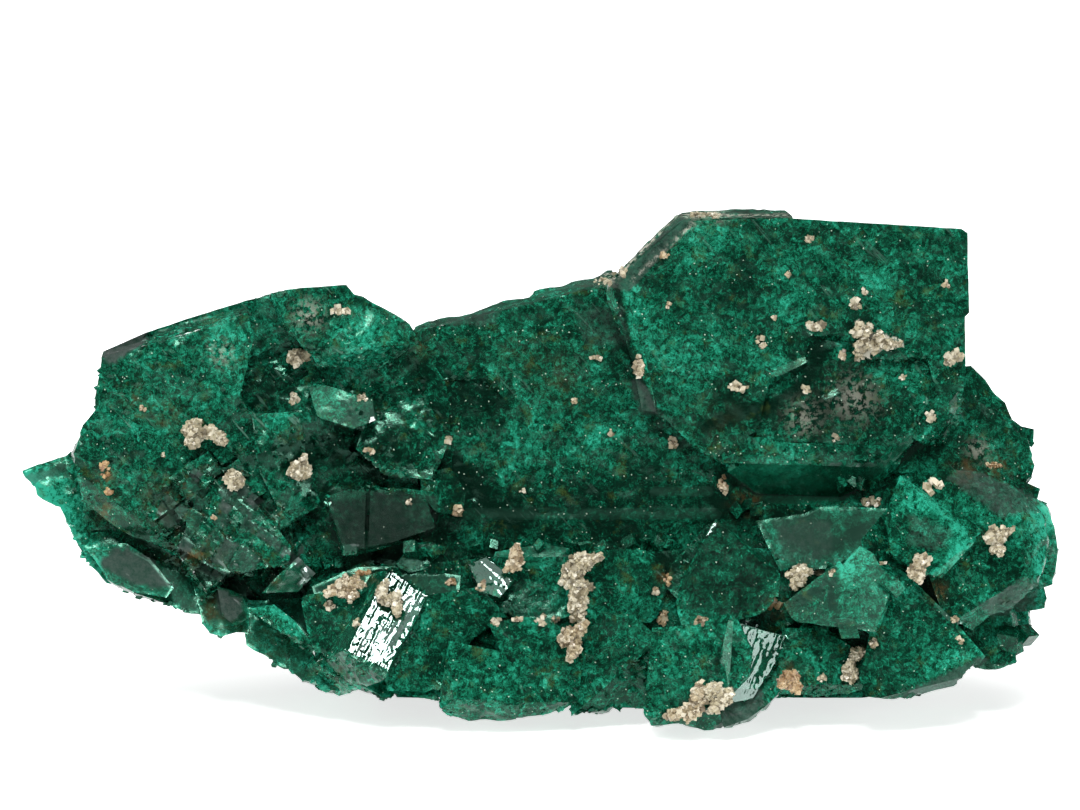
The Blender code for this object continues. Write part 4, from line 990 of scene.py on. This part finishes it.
def druse_material(settings):
    """Pale, sugary grains from white through cream to orange-brown."""
    n = Nodes(DRUSE_FINISH)
    cloud = n.noise(1.6, 4.0, 0.6)
    value = n.plus(n.times(n.kept("shade"), 0.55), n.times(cloud, 0.45))
    pale = n.ramp(value, [
        (0.2, DRUSE_DARK_AND_GAP_SHADE), (0.5, settings.cream), (0.85, settings.white)])
    rusty = n.ramp(value, [
        (0.1, DRUSE_RUST), (0.6, settings.orange), (0.9, settings.cream)])
    n.set(n.shader.inputs["Base Color"], n.mixed(n.kept("warmth"), pale, rusty))
    n.set(n.shader.inputs["Roughness"], n.ranged(n.noise(4.0, 3.0), 0.3, 0.7, 0.18, 0.5))
    n.shader.inputs["Transmission Weight"].default_value = 0.22
    n.shader.inputs["IOR"].default_value = 1.6
    normal = n.bump(n.noise(7.0, 4.0, 0.6), 0.03, 0.8)
    n.set(n.shader.inputs["Normal"], normal)
    return n.material


def kept_material(name, make, settings):
    """The material by name, made the first time."""
    return bpy.data.materials.get(name) or make(settings)


# Trees that grow crystals and grains

SIZE_POWER = 2.5
SURFACE_NARROWEST, POINT_NARROWEST, WIDEST = 0.65, 0.7, 1.25
FULL_TURN = 6.283


def new_tree(name, inputs):
    """An empty geometry tree with named inputs: (name, socket kind, default)."""
    tree = bpy.data.node_groups.new(name, "GeometryNodeTree")
    tree.interface.new_socket(name="Geometry", in_out="INPUT", socket_type="NodeSocketGeometry")
    tree.interface.new_socket(name="Geometry", in_out="OUTPUT", socket_type="NodeSocketGeometry")
    for label, kind, default in inputs:
        socket = tree.interface.new_socket(name=label, in_out="INPUT", socket_type=kind)
        if default is not None:
            socket.default_value = default
    return tree


class Grower:
    """Adds geometry nodes to a tree and joins them."""

    def __init__(self, tree):
        self.tree = tree
        self.given = tree.nodes.new("NodeGroupInput").outputs
        self.result = tree.nodes.new("NodeGroupOutput").inputs["Geometry"]

    def join(self, value, socket):
        """Feeds an output or a plain value into a socket."""
        if isinstance(value, bpy.types.NodeSocket):
            self.tree.links.new(value, socket)
        else:
            socket.default_value = value

    def add(self, kind, feeds=(), **facts):
        """A node with its settings and what feeds its inputs, by name or place."""
        node = self.tree.nodes.new(kind)
        for key, value in facts.items():
            setattr(node, key, value)
        for key, value in dict(feeds).items():
            self.join(value, node.inputs[key])
        return node

    def sum(self, operation, first, second=0.0):
        """One sum."""
        return self.add("ShaderNodeMath", {0: first, 1: second}, operation=operation).outputs[0]

    def scaled(self, vector, amount):
        """A vector times a number."""
        node = self.add("ShaderNodeVectorMath", {0: vector, "Scale": amount}, operation="SCALE")
        return node.outputs[0]

    def named(self, name):
        """A number kept on the geometry."""
        node = self.add("GeometryNodeInputNamedAttribute", {"Name": name}, data_type="FLOAT")
        return node.outputs["Attribute"]

    def chance(self, low, high, seed, vector=False):
        """A random number or vector for each element."""
        node = self.add("FunctionNodeRandomValue",
                        data_type="FLOAT_VECTOR" if vector else "FLOAT")
        wanted = "VECTOR" if vector else "VALUE"
        slots = [socket for socket in node.inputs if socket.type == wanted and socket.enabled]
        self.join(low, slots[0])
        self.join(high, slots[1])
        self.join(seed, [socket for socket in node.inputs if socket.name == "Seed"][0])
        return [out for out in node.outputs if out.type == wanted and out.enabled][0]

    def rhomb(self, lean):
        """A small leaning cube, one unit across."""
        cube = self.add("GeometryNodeMeshCube", {"Size": (1.0, 1.0, 1.0)}).outputs["Mesh"]
        spot = self.add("GeometryNodeInputPosition").outputs[0]
        parts = self.add("ShaderNodeSeparateXYZ", {0: spot}).outputs
        shift = self.add("ShaderNodeCombineXYZ", {
            0: self.sum("MULTIPLY", parts[2], lean), 1: self.sum("MULTIPLY", parts[0], lean)})
        moved = self.add("GeometryNodeSetPosition", {"Geometry": cube, "Offset": shift.outputs[0]})
        return moved.outputs[0]

    def keep(self, geometry, name, value, domain):
        """Keeps a number on the geometry for the material nodes."""
        node = self.add("GeometryNodeStoreNamedAttribute",
                        {"Geometry": geometry, "Name": name}, data_type="FLOAT", domain=domain)
        slots = [s for s in node.inputs if s.name == "Value" and s.enabled]
        self.join(value, slots[0])
        return node.outputs[0]

    def planted(self, points, turn, narrowest):
        """A rhomb at each point, of the point's size and of a shape of its own."""
        seed = self.given["Seed"]
        shape = self.chance((narrowest,) * 3, (WIDEST,) * 3, self.sum("ADD", seed, 9.0), True)
        grown = self.add("GeometryNodeInstanceOnPoints", {
            "Points": points, "Instance": self.rhomb(self.given["Lean"]), "Rotation": turn,
            "Scale": self.scaled(shape, self.named("size"))}).outputs[0]
        shade = self.chance(0.0, 1.0, self.sum("ADD", seed, 3.0))
        grown = self.keep(grown, "shade", shade, "INSTANCE")
        return self.add("GeometryNodeRealizeInstances", {"Geometry": grown}).outputs[0]

    def finished(self, geometry):
        """Gives the geometry its material, ends the tree with it and returns the tree."""
        done = self.add("GeometryNodeSetMaterial", {
            "Geometry": geometry, "Material": self.given["Finish"]})
        self.join(done.outputs[0], self.result)
        return self.tree


def surface_growth_tree():
    """Small crystals spread over a surface, as dense as its cover value says."""
    g = Grower(new_tree(SURFACE_TREE, [
        ("Per Square Metre", "NodeSocketFloat", 1e6), ("Smallest", "NodeSocketFloat", 0.0002),
        ("Largest", "NodeSocketFloat", 0.0005), ("Sink", "NodeSocketFloat", 0.3),
        ("Turn", "NodeSocketVector", None), ("Loose", "NodeSocketFloat", 0.3),
        ("Lean", "NodeSocketFloat", 0.2), ("Warmth", "NodeSocketFloat", 0.0),
        ("Seed", "NodeSocketInt", 1), ("Keep Base", "NodeSocketBool", False),
        ("Finish", "NodeSocketMaterial", None)]))
    given = g.given
    density = g.sum("MULTIPLY", given["Per Square Metre"], g.named("cover"))
    spread = g.add("GeometryNodeDistributePointsOnFaces", {
        "Mesh": given["Geometry"], "Density": density, "Seed": given["Seed"]},
        distribute_method="RANDOM")
    draw = g.sum("POWER", g.chance(0.0, 1.0, given["Seed"]), SIZE_POWER)
    span = g.sum("SUBTRACT", given["Largest"], given["Smallest"])
    size = g.sum("ADD", given["Smallest"], g.sum("MULTIPLY", draw, span))
    points = g.keep(spread.outputs["Points"], "size", size, "POINT")
    down = g.scaled(spread.outputs["Normal"],
                    g.sum("MULTIPLY", g.sum("MULTIPLY", g.named("size"), given["Sink"]), -1.0))
    points = g.add("GeometryNodeSetPosition", {"Geometry": points, "Offset": down}).outputs[0]
    low = g.add("ShaderNodeCombineXYZ", {
        axis: g.sum("MULTIPLY", given["Loose"], -1.0) for axis in range(3)}).outputs[0]
    high = g.add("ShaderNodeCombineXYZ", {axis: given["Loose"] for axis in range(3)}).outputs[0]
    loose = g.chance(low, high, g.sum("ADD", given["Seed"], 5.0), vector=True)
    turn = g.add("ShaderNodeVectorMath", {0: given["Turn"], 1: loose}, operation="ADD").outputs[0]
    real = g.planted(points, turn, SURFACE_NARROWEST)
    base = g.add("GeometryNodeSwitch", input_type="GEOMETRY")
    g.join(given["Keep Base"], base.inputs[0])
    g.join(given["Geometry"], [s for s in base.inputs if s.name == "True" and s.enabled][0])
    both = g.add("GeometryNodeJoinGeometry")
    g.join(real, both.inputs[0])
    g.join([o for o in base.outputs if o.enabled][0], both.inputs[0])
    warm = g.keep(both.outputs[0], "warmth", given["Warmth"], "POINT")
    return g.finished(g.add("GeometryNodeRealizeInstances", {"Geometry": warm}).outputs[0])


def point_growth_tree():
    """One grain at each vertex, as large as its size value says."""
    g = Grower(new_tree(POINT_TREE, [
        ("Lean", "NodeSocketFloat", 0.2), ("Seed", "NodeSocketInt", 1),
        ("Finish", "NodeSocketMaterial", None)]))
    turn = g.chance((0.0,) * 3, (FULL_TURN,) * 3, g.given["Seed"], True)
    return g.finished(g.planted(g.given["Geometry"], turn, POINT_NARROWEST))


def kept_tree(name, make):
    """The tree by name, made the first time."""
    return bpy.data.node_groups.get(name) or make()


def grown_mesh(base_mesh, tree, values, name):
    """The tree's result on a mesh, as an object with a plain mesh."""
    carrier = link(bpy.data.objects.new(name + "_base", base_mesh))
    modifier = carrier.modifiers.new("growth", "NODES")
    modifier.node_group = tree
    for item in tree.interface.items_tree:
        if item.in_out == "INPUT" and item.name in values:
            modifier[item.identifier] = values[item.name]
    depsgraph = bpy.context.evaluated_depsgraph_get()
    mesh = bpy.data.meshes.new_from_object(carrier.evaluated_get(depsgraph))
    carrier.modifiers.remove(modifier)
    bpy.data.objects.remove(carrier)
    mesh.name = name
    return link(bpy.data.objects.new(name, mesh))


# Sizes and colours a user would change

class CrystalSettings(bpy.types.PropertyGroup):
    """Sizes and colours of the dioptase."""
    front_edge: FloatProperty(
        name="Front detail", description="Longest mesh edge on the show side",
        default=0.00036, min=0.0001, unit="LENGTH")
    side_edge: FloatProperty(
        name="Side detail", description="Longest mesh edge on faces seen at a slant",
        default=0.0008, min=0.0001, unit="LENGTH")
    back_edge: FloatProperty(
        name="Back detail", description="Longest mesh edge on the hidden side",
        default=0.0012, min=0.0001, unit="LENGTH")
    dark_green: FloatVectorProperty(
        name="Dark green", description="Colour in the darkest clouds", subtype="COLOR",
        default=(0.001, 0.014, 0.007), min=0, max=1)
    deep_green: FloatVectorProperty(
        name="Deep green", description="Main colour of the crystals", subtype="COLOR",
        default=(0.003, 0.066, 0.033), min=0, max=1)
    mid_green: FloatVectorProperty(
        name="Middle green", description="Colour of the lighter clouds", subtype="COLOR",
        default=(0.008, 0.17, 0.092), min=0, max=1)
    bright_green: FloatVectorProperty(
        name="Bright green", description="Colour of the brightest flecks", subtype="COLOR",
        default=(0.035, 0.48, 0.31), min=0, max=1)
    clearness: FloatProperty(
        name="Clearness", description="How much light passes into the crystal",
        default=0.5, min=0, max=1, subtype="FACTOR")
    bending: FloatProperty(
        name="Index of refraction", description="Of dioptase", default=1.66, min=1, max=3)
    depth_colour: FloatVectorProperty(
        name="Depth colour", description="Colour that light keeps on its way through",
        subtype="COLOR", default=(0.0, 0.85, 0.74), min=0, max=1)
    depth_density: FloatProperty(
        name="Depth density", description="How fast the colour deepens, per metre",
        default=2300.0, min=0)


class SmallCrystalSettings(bpy.types.PropertyGroup):
    """Sizes of the small crystals grown on the big ones."""
    per_square_mm: FloatProperty(
        name="Crystals per square mm", description="At full cover", default=10.0, min=0)
    smallest: FloatProperty(
        name="Smallest", description="Smallest crystal", default=0.00012, min=0, unit="LENGTH")
    largest: FloatProperty(
        name="Largest", description="Largest crystal", default=0.00038, min=0, unit="LENGTH")
    seed: IntProperty(name="Seed", description="Changes the scatter", default=7)


class DruseSettings(bpy.types.PropertyGroup):
    """Sizes and colours of the druse."""
    smallest: FloatProperty(
        name="Smallest grain", description="Smallest grain of a clump",
        default=0.00013, min=0, unit="LENGTH")
    largest: FloatProperty(
        name="Largest grain", description="Largest grain of a clump",
        default=0.00028, min=0, unit="LENGTH")
    per_square_mm: FloatProperty(
        name="Grains per square mm", description="On a clump's surface", default=60.0, min=0)
    white: FloatVectorProperty(
        name="White", description="Palest grains", subtype="COLOR",
        default=(0.74, 0.70, 0.57), min=0, max=1)
    cream: FloatVectorProperty(
        name="Cream", description="Most grains", subtype="COLOR",
        default=(0.44, 0.385, 0.25), min=0, max=1)
    orange: FloatVectorProperty(
        name="Orange", description="Iron-stained grains", subtype="COLOR",
        default=(0.46, 0.29, 0.12), min=0, max=1)
    seed: IntProperty(name="Seed", description="Changes the scatter", default=3)


class StageSettings(bpy.types.PropertyGroup):
    """Floor, light and camera."""
    floor_radius: FloatProperty(
        name="Floor radius", description="Radius of the round floor", default=1.6, min=0.1,
        unit="LENGTH")
    sun: FloatProperty(name="Overhead light", description="Soft light from above", default=1.2)
    room: FloatProperty(name="Room light", description="Light from all round", default=0.1)


# Crystals in the seams: (right, up, width, height, count, size)

SEAMS = [
    (15.4, 5.9, 5.6, 0.3, 7, 0.8), (-7.7, 14.2, 1.6, 0.1, 3, 1.3), (-3.3, 5.2, 1.0, 0.5, 3, 0.8),
    (-12.6, 9.6, 2.4, 0.4, 4, 0.7), (12.0, 12.9, 1.6, 0.4, 3, 0.7), (0.0, 10.6, 8.0, 0.3, 9, 0.6),
    (6.4, 10.6, 3.0, 0.5, 4, 0.7), (20.3, 8.4, 0.8, 1.4, 3, 0.8), (-16.4, 9.0, 1.2, 0.8, 3, 0.7),
    (18.4, 14.4, 2.4, 0.3, 4, 0.6), (27.6, 5.4, 1.4, 1.2, 3, 0.8), (-6.6, 10.3, 2.2, 0.4, 4, 0.6),
]


# Druse away from the clumps: (right, up, width, height, warmth)

LOOSE_DRUSE = [
    (-17.7, 14.4, 1.1, 0.7, 0.0), (-11.6, 24.3, 1.1, 0.5, 0.0), (-14.2, 19.1, 0.5, 0.9, 0.2),
    (-10.3, 19.2, 0.6, 0.4, 0.0), (-25.2, 15.1, 0.5, 0.9, 0.9), (18.6, 21.6, 0.7, 0.6, 0.0),
    (20.6, 22.35, 0.9, 0.3, 0.0), (16.0, 23.4, 1.2, 0.5, 0.0), (18.3, 24.7, 0.8, 0.6, 0.0),
    (18.8, 25.4, 0.35, 0.35, 0.0), (15.6, 28.4, 0.5, 0.4, 0.1), (12.8, 22.5, 0.6, 0.6, 0.0),
    (11.5, 19.9, 1.1, 0.5, 0.0), (15.4, 19.7, 0.6, 0.5, 0.0), (22.7, 18.2, 0.6, 0.6, 0.0),
    (17.1, 16.9, 0.4, 0.4, 0.0), (17.6, 21.7, 0.5, 0.5, 0.3), (23.5, 25.8, 0.4, 0.4, 0.3),
    (5.7, 21.1, 0.5, 1.5, 0.1), (3.2, 21.5, 0.6, 0.3, 0.2), (4.1, 17.2, 0.35, 0.35, 0.0),
    (7.7, 16.7, 0.5, 0.7, 0.2), (3.6, 25.9, 1.0, 0.35, 0.1), (4.7, 26.5, 0.9, 0.5, 0.0),
    (9.6, 29.75, 1.9, 0.35, 0.0), (15.1, 29.85, 0.8, 0.4, 0.0), (16.2, 9.1, 0.4, 0.4, 0.0),
    (16.9, 9.1, 0.4, 0.4, 0.0), (18.6, 4.6, 0.6, 0.6, 0.1), (19.3, 5.0, 0.45, 0.45, 0.1),
    (16.3, 3.0, 0.4, 0.4, 0.0), (-12.1, 7.1, 0.5, 0.7, 0.1), (-10.3, 9.1, 0.9, 0.3, 0.9),
    (-8.2, 6.8, 0.5, 0.5, 0.0), (-10.6, 6.2, 0.4, 0.4, 0.1), (-3.4, 8.3, 0.5, 0.5, 0.3),
    (-5.2, 8.5, 0.6, 0.4, 0.6), (-2.5, 6.2, 0.6, 0.5, 0.2), (-1.3, 6.4, 0.6, 0.3, 0.2),
    (0.1, 6.3, 0.7, 0.5, 0.0), (0.9, 6.4, 0.4, 0.3, 0.3), (22.8, 14.1, 1.0, 0.8, 0.1),
    (19.2, 13.2, 1.1, 0.5, 0.1), (10.6, 14.2, 0.5, 1.1, 0.4), (7.4, 8.6, 0.4, 0.6, 0.7),
    (6.7, 8.0, 0.4, 0.4, 0.2), (7.0, 6.5, 0.6, 0.9, 0.6), (9.3, 6.3, 0.8, 0.4, 0.2),
    (24.0, 6.4, 0.35, 0.35, 0.1), (24.3, 5.2, 0.4, 0.4, 0.1), (19.9, 9.5, 0.5, 0.4, 0.0),
    (-4.8, 12.6, 0.5, 0.7, 0.3), (-5.3, 16.7, 0.4, 0.4, 0.0), (-9.9, 16.1, 0.45, 0.45, 0.3),
    (-25.0, 13.8, 0.5, 0.4, 0.9), (13.6, 7.2, 0.8, 0.6, 0.9), (26.3, 15.3, 0.9, 0.3, 0.7),
    (-21.8, 15.9, 0.3, 0.3, 0.0), (-18.9, 12.3, 0.3, 0.3, 0.4), (-7.6, 13.2, 0.3, 0.3, 0.0),
    (21.0, 20.4, 0.4, 0.3, 0.0), (24.0, 21.6, 0.6, 0.4, 0.0), (14.3, 26.4, 0.3, 0.3, 0.2),
    (7.2, 27.5, 0.5, 0.4, 0.5), (7.4, 24.6, 0.3, 0.3, 0.3), (13.6, 23.8, 0.3, 0.3, 0.2),
    (2.0, 19.0, 0.3, 0.3, 0.2), (-23.0, 18.6, 0.3, 0.3, 0.4), (-1.0, 13.8, 0.3, 0.3, 0.0),
]
CLUMP_WARMTH = {
    "druse_low_edge": 0.7, "druse_crust": 0.25, "druse_grey": 0.3, "druse_tuft": 0.2,
    "druse_low_large": 0.2, "druse_right_tuft": 0.1,
}



# How far the solid of a clump is drawn in under its grains, in millimetres and by name.
SHRINK = 0.1
CLUMP_SHRINK = {"druse_slab_patch": 2.4}

# How crystals and grains sit: shares of their own size, and turns in radians.
LEAN = 0.2
CRYSTAL_TURN = (math.radians(20), math.radians(35), math.radians(10))
CRYSTAL_LOOSE = 0.35
CRYSTAL_SINK = 0.28
SEAM_FORWARD = 0.2
GRAIN_SINK = 0.3
# The clump's solid under the grains takes this lower shade, painted shade where it shows between
# them.
BASE_SHADE = 0.4

# Loose grains: their sizes in millimetres, from the patch they fill, and how full it is.
LOOSE_LEAST, LOOSE_MOST, LOOSE_SHARE = 0.16, 0.42, 0.45
LOOSE_FILL = 1.9
LOOSE_RAISE = 0.15


def met_at(surface, right, up):
    """Where the sight through (right, up) meets the surface: spot, normal, line of sight."""
    looked = (place(right, up, 0.0) - EYE).normalized()
    spot, normal, _, _ = surface.ray_cast(EYE, looked)
    return spot, normal, looked


def grain_seeds(name, spots, **values):
    """A mesh of single vertices that keep the named numbers."""
    seeds = bpy.data.meshes.new(name)
    seeds.from_pydata(spots, [], [])
    for key, numbers in values.items():
        keep_values(seeds, key, np.array(numbers))
    return seeds


# Operators

class DIOPTASE_OT_crystals(bpy.types.Operator):
    """Build the dioptase surface from the frame's cluster"""
    bl_idname = "dioptase.crystals"
    bl_label = "Crystals"

    def execute(self, context):
        settings = context.scene.dioptase_crystal
        lengths = (settings.front_edge, settings.side_edge, settings.back_edge)
        bm = refined(welded_copy(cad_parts[CLUSTER]), lengths)
        bm.normal_update()
        bm.verts.index_update()
        on_edge = edge_shares(bm)
        mesh = bpy.data.meshes.new(SURFACE)
        bm.to_mesh(mesh)
        bm.free()
        facts = surface_facts(mesh)
        height = surface_relief(facts, on_edge)
        moved = facts["places"] + facts["normals"] * (height * MM)[:, None]
        moved[:, 2] = np.maximum(moved[:, 2], 0.0)
        mesh.vertices.foreach_set("co", moved.ravel())
        for name in ("polish", "tone_and_painted_light", "stain", "crust", "grey", "scratch", "matt"):
            keep_values(mesh, name, facts[name])
        keep_values(mesh, "cover", growth_cover(facts))
        mesh.update()
        mesh.set_sharp_from_angle(angle=SHARP_ANGLE)
        for face in mesh.polygons:
            face.use_smooth = True
        mesh.materials.append(kept_material(CRYSTAL_FINISH, clean_material, settings))
        mesh.materials.append(kept_material(ETCHED_FINISH, etched_material, settings))
        mesh.polygons.foreach_set("material_index", etched_faces(mesh, facts))
        seated(link(bpy.data.objects.new(SURFACE, mesh)), "dioptase", CLUSTER)
        return {"FINISHED"}


class DIOPTASE_OT_small_crystals(bpy.types.Operator):
    """Grow small crystals on the rough parts of the dioptase"""
    bl_idname = "dioptase.small_crystals"
    bl_label = "Small crystals"

    def execute(self, context):
        settings = context.scene.dioptase_small
        surface = bpy.data.objects[SURFACE]
        tree = kept_tree(SURFACE_TREE, surface_growth_tree)
        piece = grown_mesh(surface.data.copy(), tree, {
            "Per Square Metre": settings.per_square_mm / MM ** 2,
            "Smallest": settings.smallest, "Largest": settings.largest, "Sink": CRYSTAL_SINK,
            "Turn": CRYSTAL_TURN, "Loose": CRYSTAL_LOOSE, "Lean": LEAN, "Seed": settings.seed,
            "Finish": bpy.data.materials[ETCHED_FINISH]}, "small_crystals")
        seated(piece, "dioptase")
        return {"FINISHED"}


class DIOPTASE_OT_seam_crystals(bpy.types.Operator):
    """Set crystals in the seams between the big ones"""
    bl_idname = "dioptase.seam_crystals"
    bl_label = "Seam crystals"

    def execute(self, context):
        settings = context.scene.dioptase_small
        surface = ray_tree(bpy.data.objects[SURFACE].data)
        draw = random.Random(settings.seed)
        spots, sizes = [], []
        for right, up, width, height, count, size in SEAMS:
            for number in range(count):
                along = (number + 0.5) / count - 0.5
                spot, _, looked = met_at(
                    surface, right + width * along, up + height * (draw.random() - 0.5))
                if spot is None:
                    continue
                grown = size * draw.uniform(0.75, 1.25) * MM
                spots.append(spot - looked * grown * SEAM_FORWARD)
                sizes.append(grown)
        seeds = grain_seeds("seam_seeds", spots, size=sizes)
        piece = grown_mesh(seeds, kept_tree(POINT_TREE, point_growth_tree), {
            "Lean": LEAN, "Seed": settings.seed,
            "Finish": bpy.data.materials[ETCHED_FINISH]}, "seam_crystals")
        seated(piece, "dioptase")
        return {"FINISHED"}


class DIOPTASE_OT_clumps(bpy.types.Operator):
    """Grow sugary grains over each druse clump of the frame"""
    bl_idname = "dioptase.clumps"
    bl_label = "Druse clumps"

    def execute(self, context):
        settings = context.scene.dioptase_druse
        finish = kept_material(DRUSE_FINISH, druse_material, settings)
        tree = kept_tree(SURFACE_TREE, surface_growth_tree)
        for number, name in enumerate(CLUMPS):
            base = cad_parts[name].data.copy()
            places, normals = mesh_arrays(base)
            inward = SHRINK * MM * CLUMP_SHRINK.get(name, 1.0)
            base.vertices.foreach_set("co", (places - normals * inward).ravel())
            keep_values(base, "cover", np.ones(len(base.vertices)))
            keep_values(base, "shade", np.full(len(base.vertices), BASE_SHADE))
            piece = grown_mesh(base, tree, {
                "Per Square Metre": settings.per_square_mm / MM ** 2,
                "Smallest": settings.smallest, "Largest": settings.largest, "Sink": GRAIN_SINK,
                "Turn": (0.0, 0.0, 0.0), "Loose": math.pi, "Lean": LEAN,
                "Warmth": CLUMP_WARMTH.get(name, 0.0), "Seed": settings.seed + number,
                "Keep Base": True, "Finish": finish}, name + "_grains")
            seated(piece, "druse", name)
        return {"FINISHED"}


class DIOPTASE_OT_loose_druse(bpy.types.Operator):
    """Set the small patches and single grains of druse on the crystals"""
    bl_idname = "dioptase.loose_druse"
    bl_label = "Loose druse"

    def execute(self, context):
        settings = context.scene.dioptase_druse
        finish = kept_material(DRUSE_FINISH, druse_material, settings)
        surface = ray_tree(bpy.data.objects[SURFACE].data)
        draw = random.Random(settings.seed)
        spots, sizes, warmths = [], [], []
        for right, up, width, height, warmth in LOOSE_DRUSE:
            grain = min(LOOSE_MOST, max(LOOSE_LEAST, LOOSE_SHARE * min(width, height)))
            count = max(3, int(LOOSE_FILL * width * height / grain ** 2))
            for _ in range(count):
                angle = draw.uniform(0, 2 * math.pi)
                reach = math.sqrt(draw.random()) / 2
                spot, normal, _ = met_at(surface, right + width * reach * math.cos(angle),
                                         up + height * reach * math.sin(angle))
                if spot is None:
                    continue
                size = grain * draw.uniform(0.55, 1.15)
                spots.append(spot + normal * size * LOOSE_RAISE * MM)
                sizes.append(size * MM)
                warmths.append(warmth)
        seeds = grain_seeds("druse_seeds", spots, size=sizes, warmth=warmths)
        piece = grown_mesh(seeds, kept_tree(POINT_TREE, point_growth_tree),
                           {"Lean": LEAN, "Seed": settings.seed, "Finish": finish}, "loose_druse")
        seated(piece, "druse")
        return {"FINISHED"}


# The stage: the point that the lights look at, and each light's name, azimuth, rise, distance
# and size in metres, and power in watts.
LIGHTS_AIM = (0.0, 0.0, 0.014)
SOFT_BOXES = (
    ("key", *KEY_AIM, 0.55, 0.135, 2.0),
    ("top front", math.radians(-8), math.radians(74), 0.6, 0.65, 2.6),
    ("left fill", math.radians(-64), math.radians(32), 0.5, 0.5, 0.95),
    ("right window", math.radians(58), math.radians(16), 0.45, 0.16, 0.6),
)
SUN_ANGLE = math.radians(40)
SUN_TURN = (math.radians(-12), math.radians(-14), 0)
SENSOR = 36.0

# The floor darkens towards the eye, where the crystals mirror it: places along Y in metres.
FLOOR_DARK_AT, FLOOR_WHITE_AT = -0.13, -0.034
FLOOR_LEAST_WHITE = 0.22
FLOOR_GLOW = 0.72


def soft_box(name, azimuth, rise, away, size, power):
    """A round soft light that looks at the specimen."""
    at = Vector(toward(azimuth, rise)) * away
    data = bpy.data.lights.new(name, "AREA")
    data.shape = "DISK"
    data.energy = power
    data.size = size
    light = link(bpy.data.objects.new(name, data))
    light.location = at
    light.rotation_euler = (Vector(LIGHTS_AIM) - at).to_track_quat("-Z", "Y").to_euler()


def floor_material():
    """Matt white board with a faint sheen."""
    n = Nodes("white board")
    grain = n.noise(0.25, 3.0)
    n.set(n.shader.inputs["Roughness"], n.ranged(grain, 0.3, 0.7, 0.42, 0.5))
    parts = n.add("ShaderNodeSeparateXYZ")
    n.set(parts.inputs[0], n.coordinates)
    white = n.ranged(parts.outputs["Y"], FLOOR_DARK_AT, FLOOR_WHITE_AT, FLOOR_LEAST_WHITE, 1.0)
    n.set(n.shader.inputs["Base Color"], n.mixed(white, (0.16, 0.16, 0.16), (0.85, 0.85, 0.85)))
    n.shader.inputs["Emission Color"].default_value = (1.0, 1.0, 1.0, 1.0)
    n.set(n.shader.inputs["Emission Strength"], n.times(white, FLOOR_GLOW))
    return n.material


class DIOPTASE_OT_stage(bpy.types.Operator):
    """Set the floor, the light and the camera"""
    bl_idname = "dioptase.stage"
    bl_label = "Stage"

    def execute(self, context):
        settings = context.scene.dioptase_stage
        bm = bmesh.new()
        bmesh.ops.create_circle(bm, cap_ends=True, segments=96, radius=settings.floor_radius)
        mesh = bpy.data.meshes.new("floor")
        bm.to_mesh(mesh)
        bm.free()
        mesh.materials.append(floor_material())
        floor = link(bpy.data.objects.new("floor", mesh))
        sun = bpy.data.lights.new("overhead", "SUN")
        sun.energy = settings.sun
        sun.angle = SUN_ANGLE
        lamp = link(bpy.data.objects.new("overhead", sun))
        lamp.rotation_euler = SUN_TURN
        for facts in SOFT_BOXES:
            soft_box(*facts)
        world = bpy.data.worlds.new("room")
        context.scene.world = world
        world.use_nodes = True
        background = world.node_tree.nodes["Background"]
        background.inputs["Color"].default_value = (1.0, 1.0, 1.0, 1.0)
        background.inputs["Strength"].default_value = settings.room
        data = bpy.data.cameras.new("camera")
        data.sensor_width = SENSOR
        data.lens = SENSOR * SIGHT_LENGTH / PICTURE_WIDTH
        data.clip_start = 0.01
        data.clip_end = 10.0
        camera = link(bpy.data.objects.new("camera", data))
        camera.location = EYE
        aim = place(0.0, SIGHT_UP, 0.0)
        camera.rotation_euler = (aim - EYE).to_track_quat("-Z", "Y").to_euler()
        context.scene.camera = camera
        context.scene.view_settings.view_transform = "Standard"
        return {"FINISHED"}


SETTINGS = {
    "dioptase_crystal": CrystalSettings, "dioptase_small": SmallCrystalSettings,
    "dioptase_druse": DruseSettings, "dioptase_stage": StageSettings}
OPERATORS = (
    DIOPTASE_OT_crystals, DIOPTASE_OT_small_crystals, DIOPTASE_OT_seam_crystals,
    DIOPTASE_OT_clumps, DIOPTASE_OT_loose_druse, DIOPTASE_OT_stage)


class DIOPTASE_PT_panel(bpy.types.Panel):
    """Lists the specimen's pieces and their settings"""
    bl_idname = "DIOPTASE_PT_panel"
    bl_label = "Dioptase specimen"
    bl_space_type = "VIEW_3D"
    bl_region_type = "UI"
    bl_category = "Dioptase"

    def draw(self, context):
        layout = self.layout
        for operator in OPERATORS:
            layout.operator(operator.bl_idname)
        for name in SETTINGS:
            group = getattr(context.scene, name)
            for key in group.__annotations__:
                layout.prop(group, key)


CLASSES = (*SETTINGS.values(), *OPERATORS, DIOPTASE_PT_panel)


def register():
    """Adds the classes and the settings they need."""
    for kind in CLASSES:
        bpy.utils.register_class(kind)
    for name, kind in SETTINGS.items():
        setattr(bpy.types.Scene, name, PointerProperty(type=kind))


def unregister():
    """Takes the classes and the settings away again."""
    for name in SETTINGS:
        delattr(bpy.types.Scene, name)
    for kind in reversed(CLASSES):
        bpy.utils.unregister_class(kind)


def main():
    """Builds every piece in order."""
    register()
    bpy.ops.dioptase.crystals()
    bpy.ops.dioptase.small_crystals()
    bpy.ops.dioptase.seam_crystals()
    bpy.ops.dioptase.clumps()
    bpy.ops.dioptase.loose_druse()
    bpy.ops.dioptase.stage()


if __name__ == "__main__":
    main()
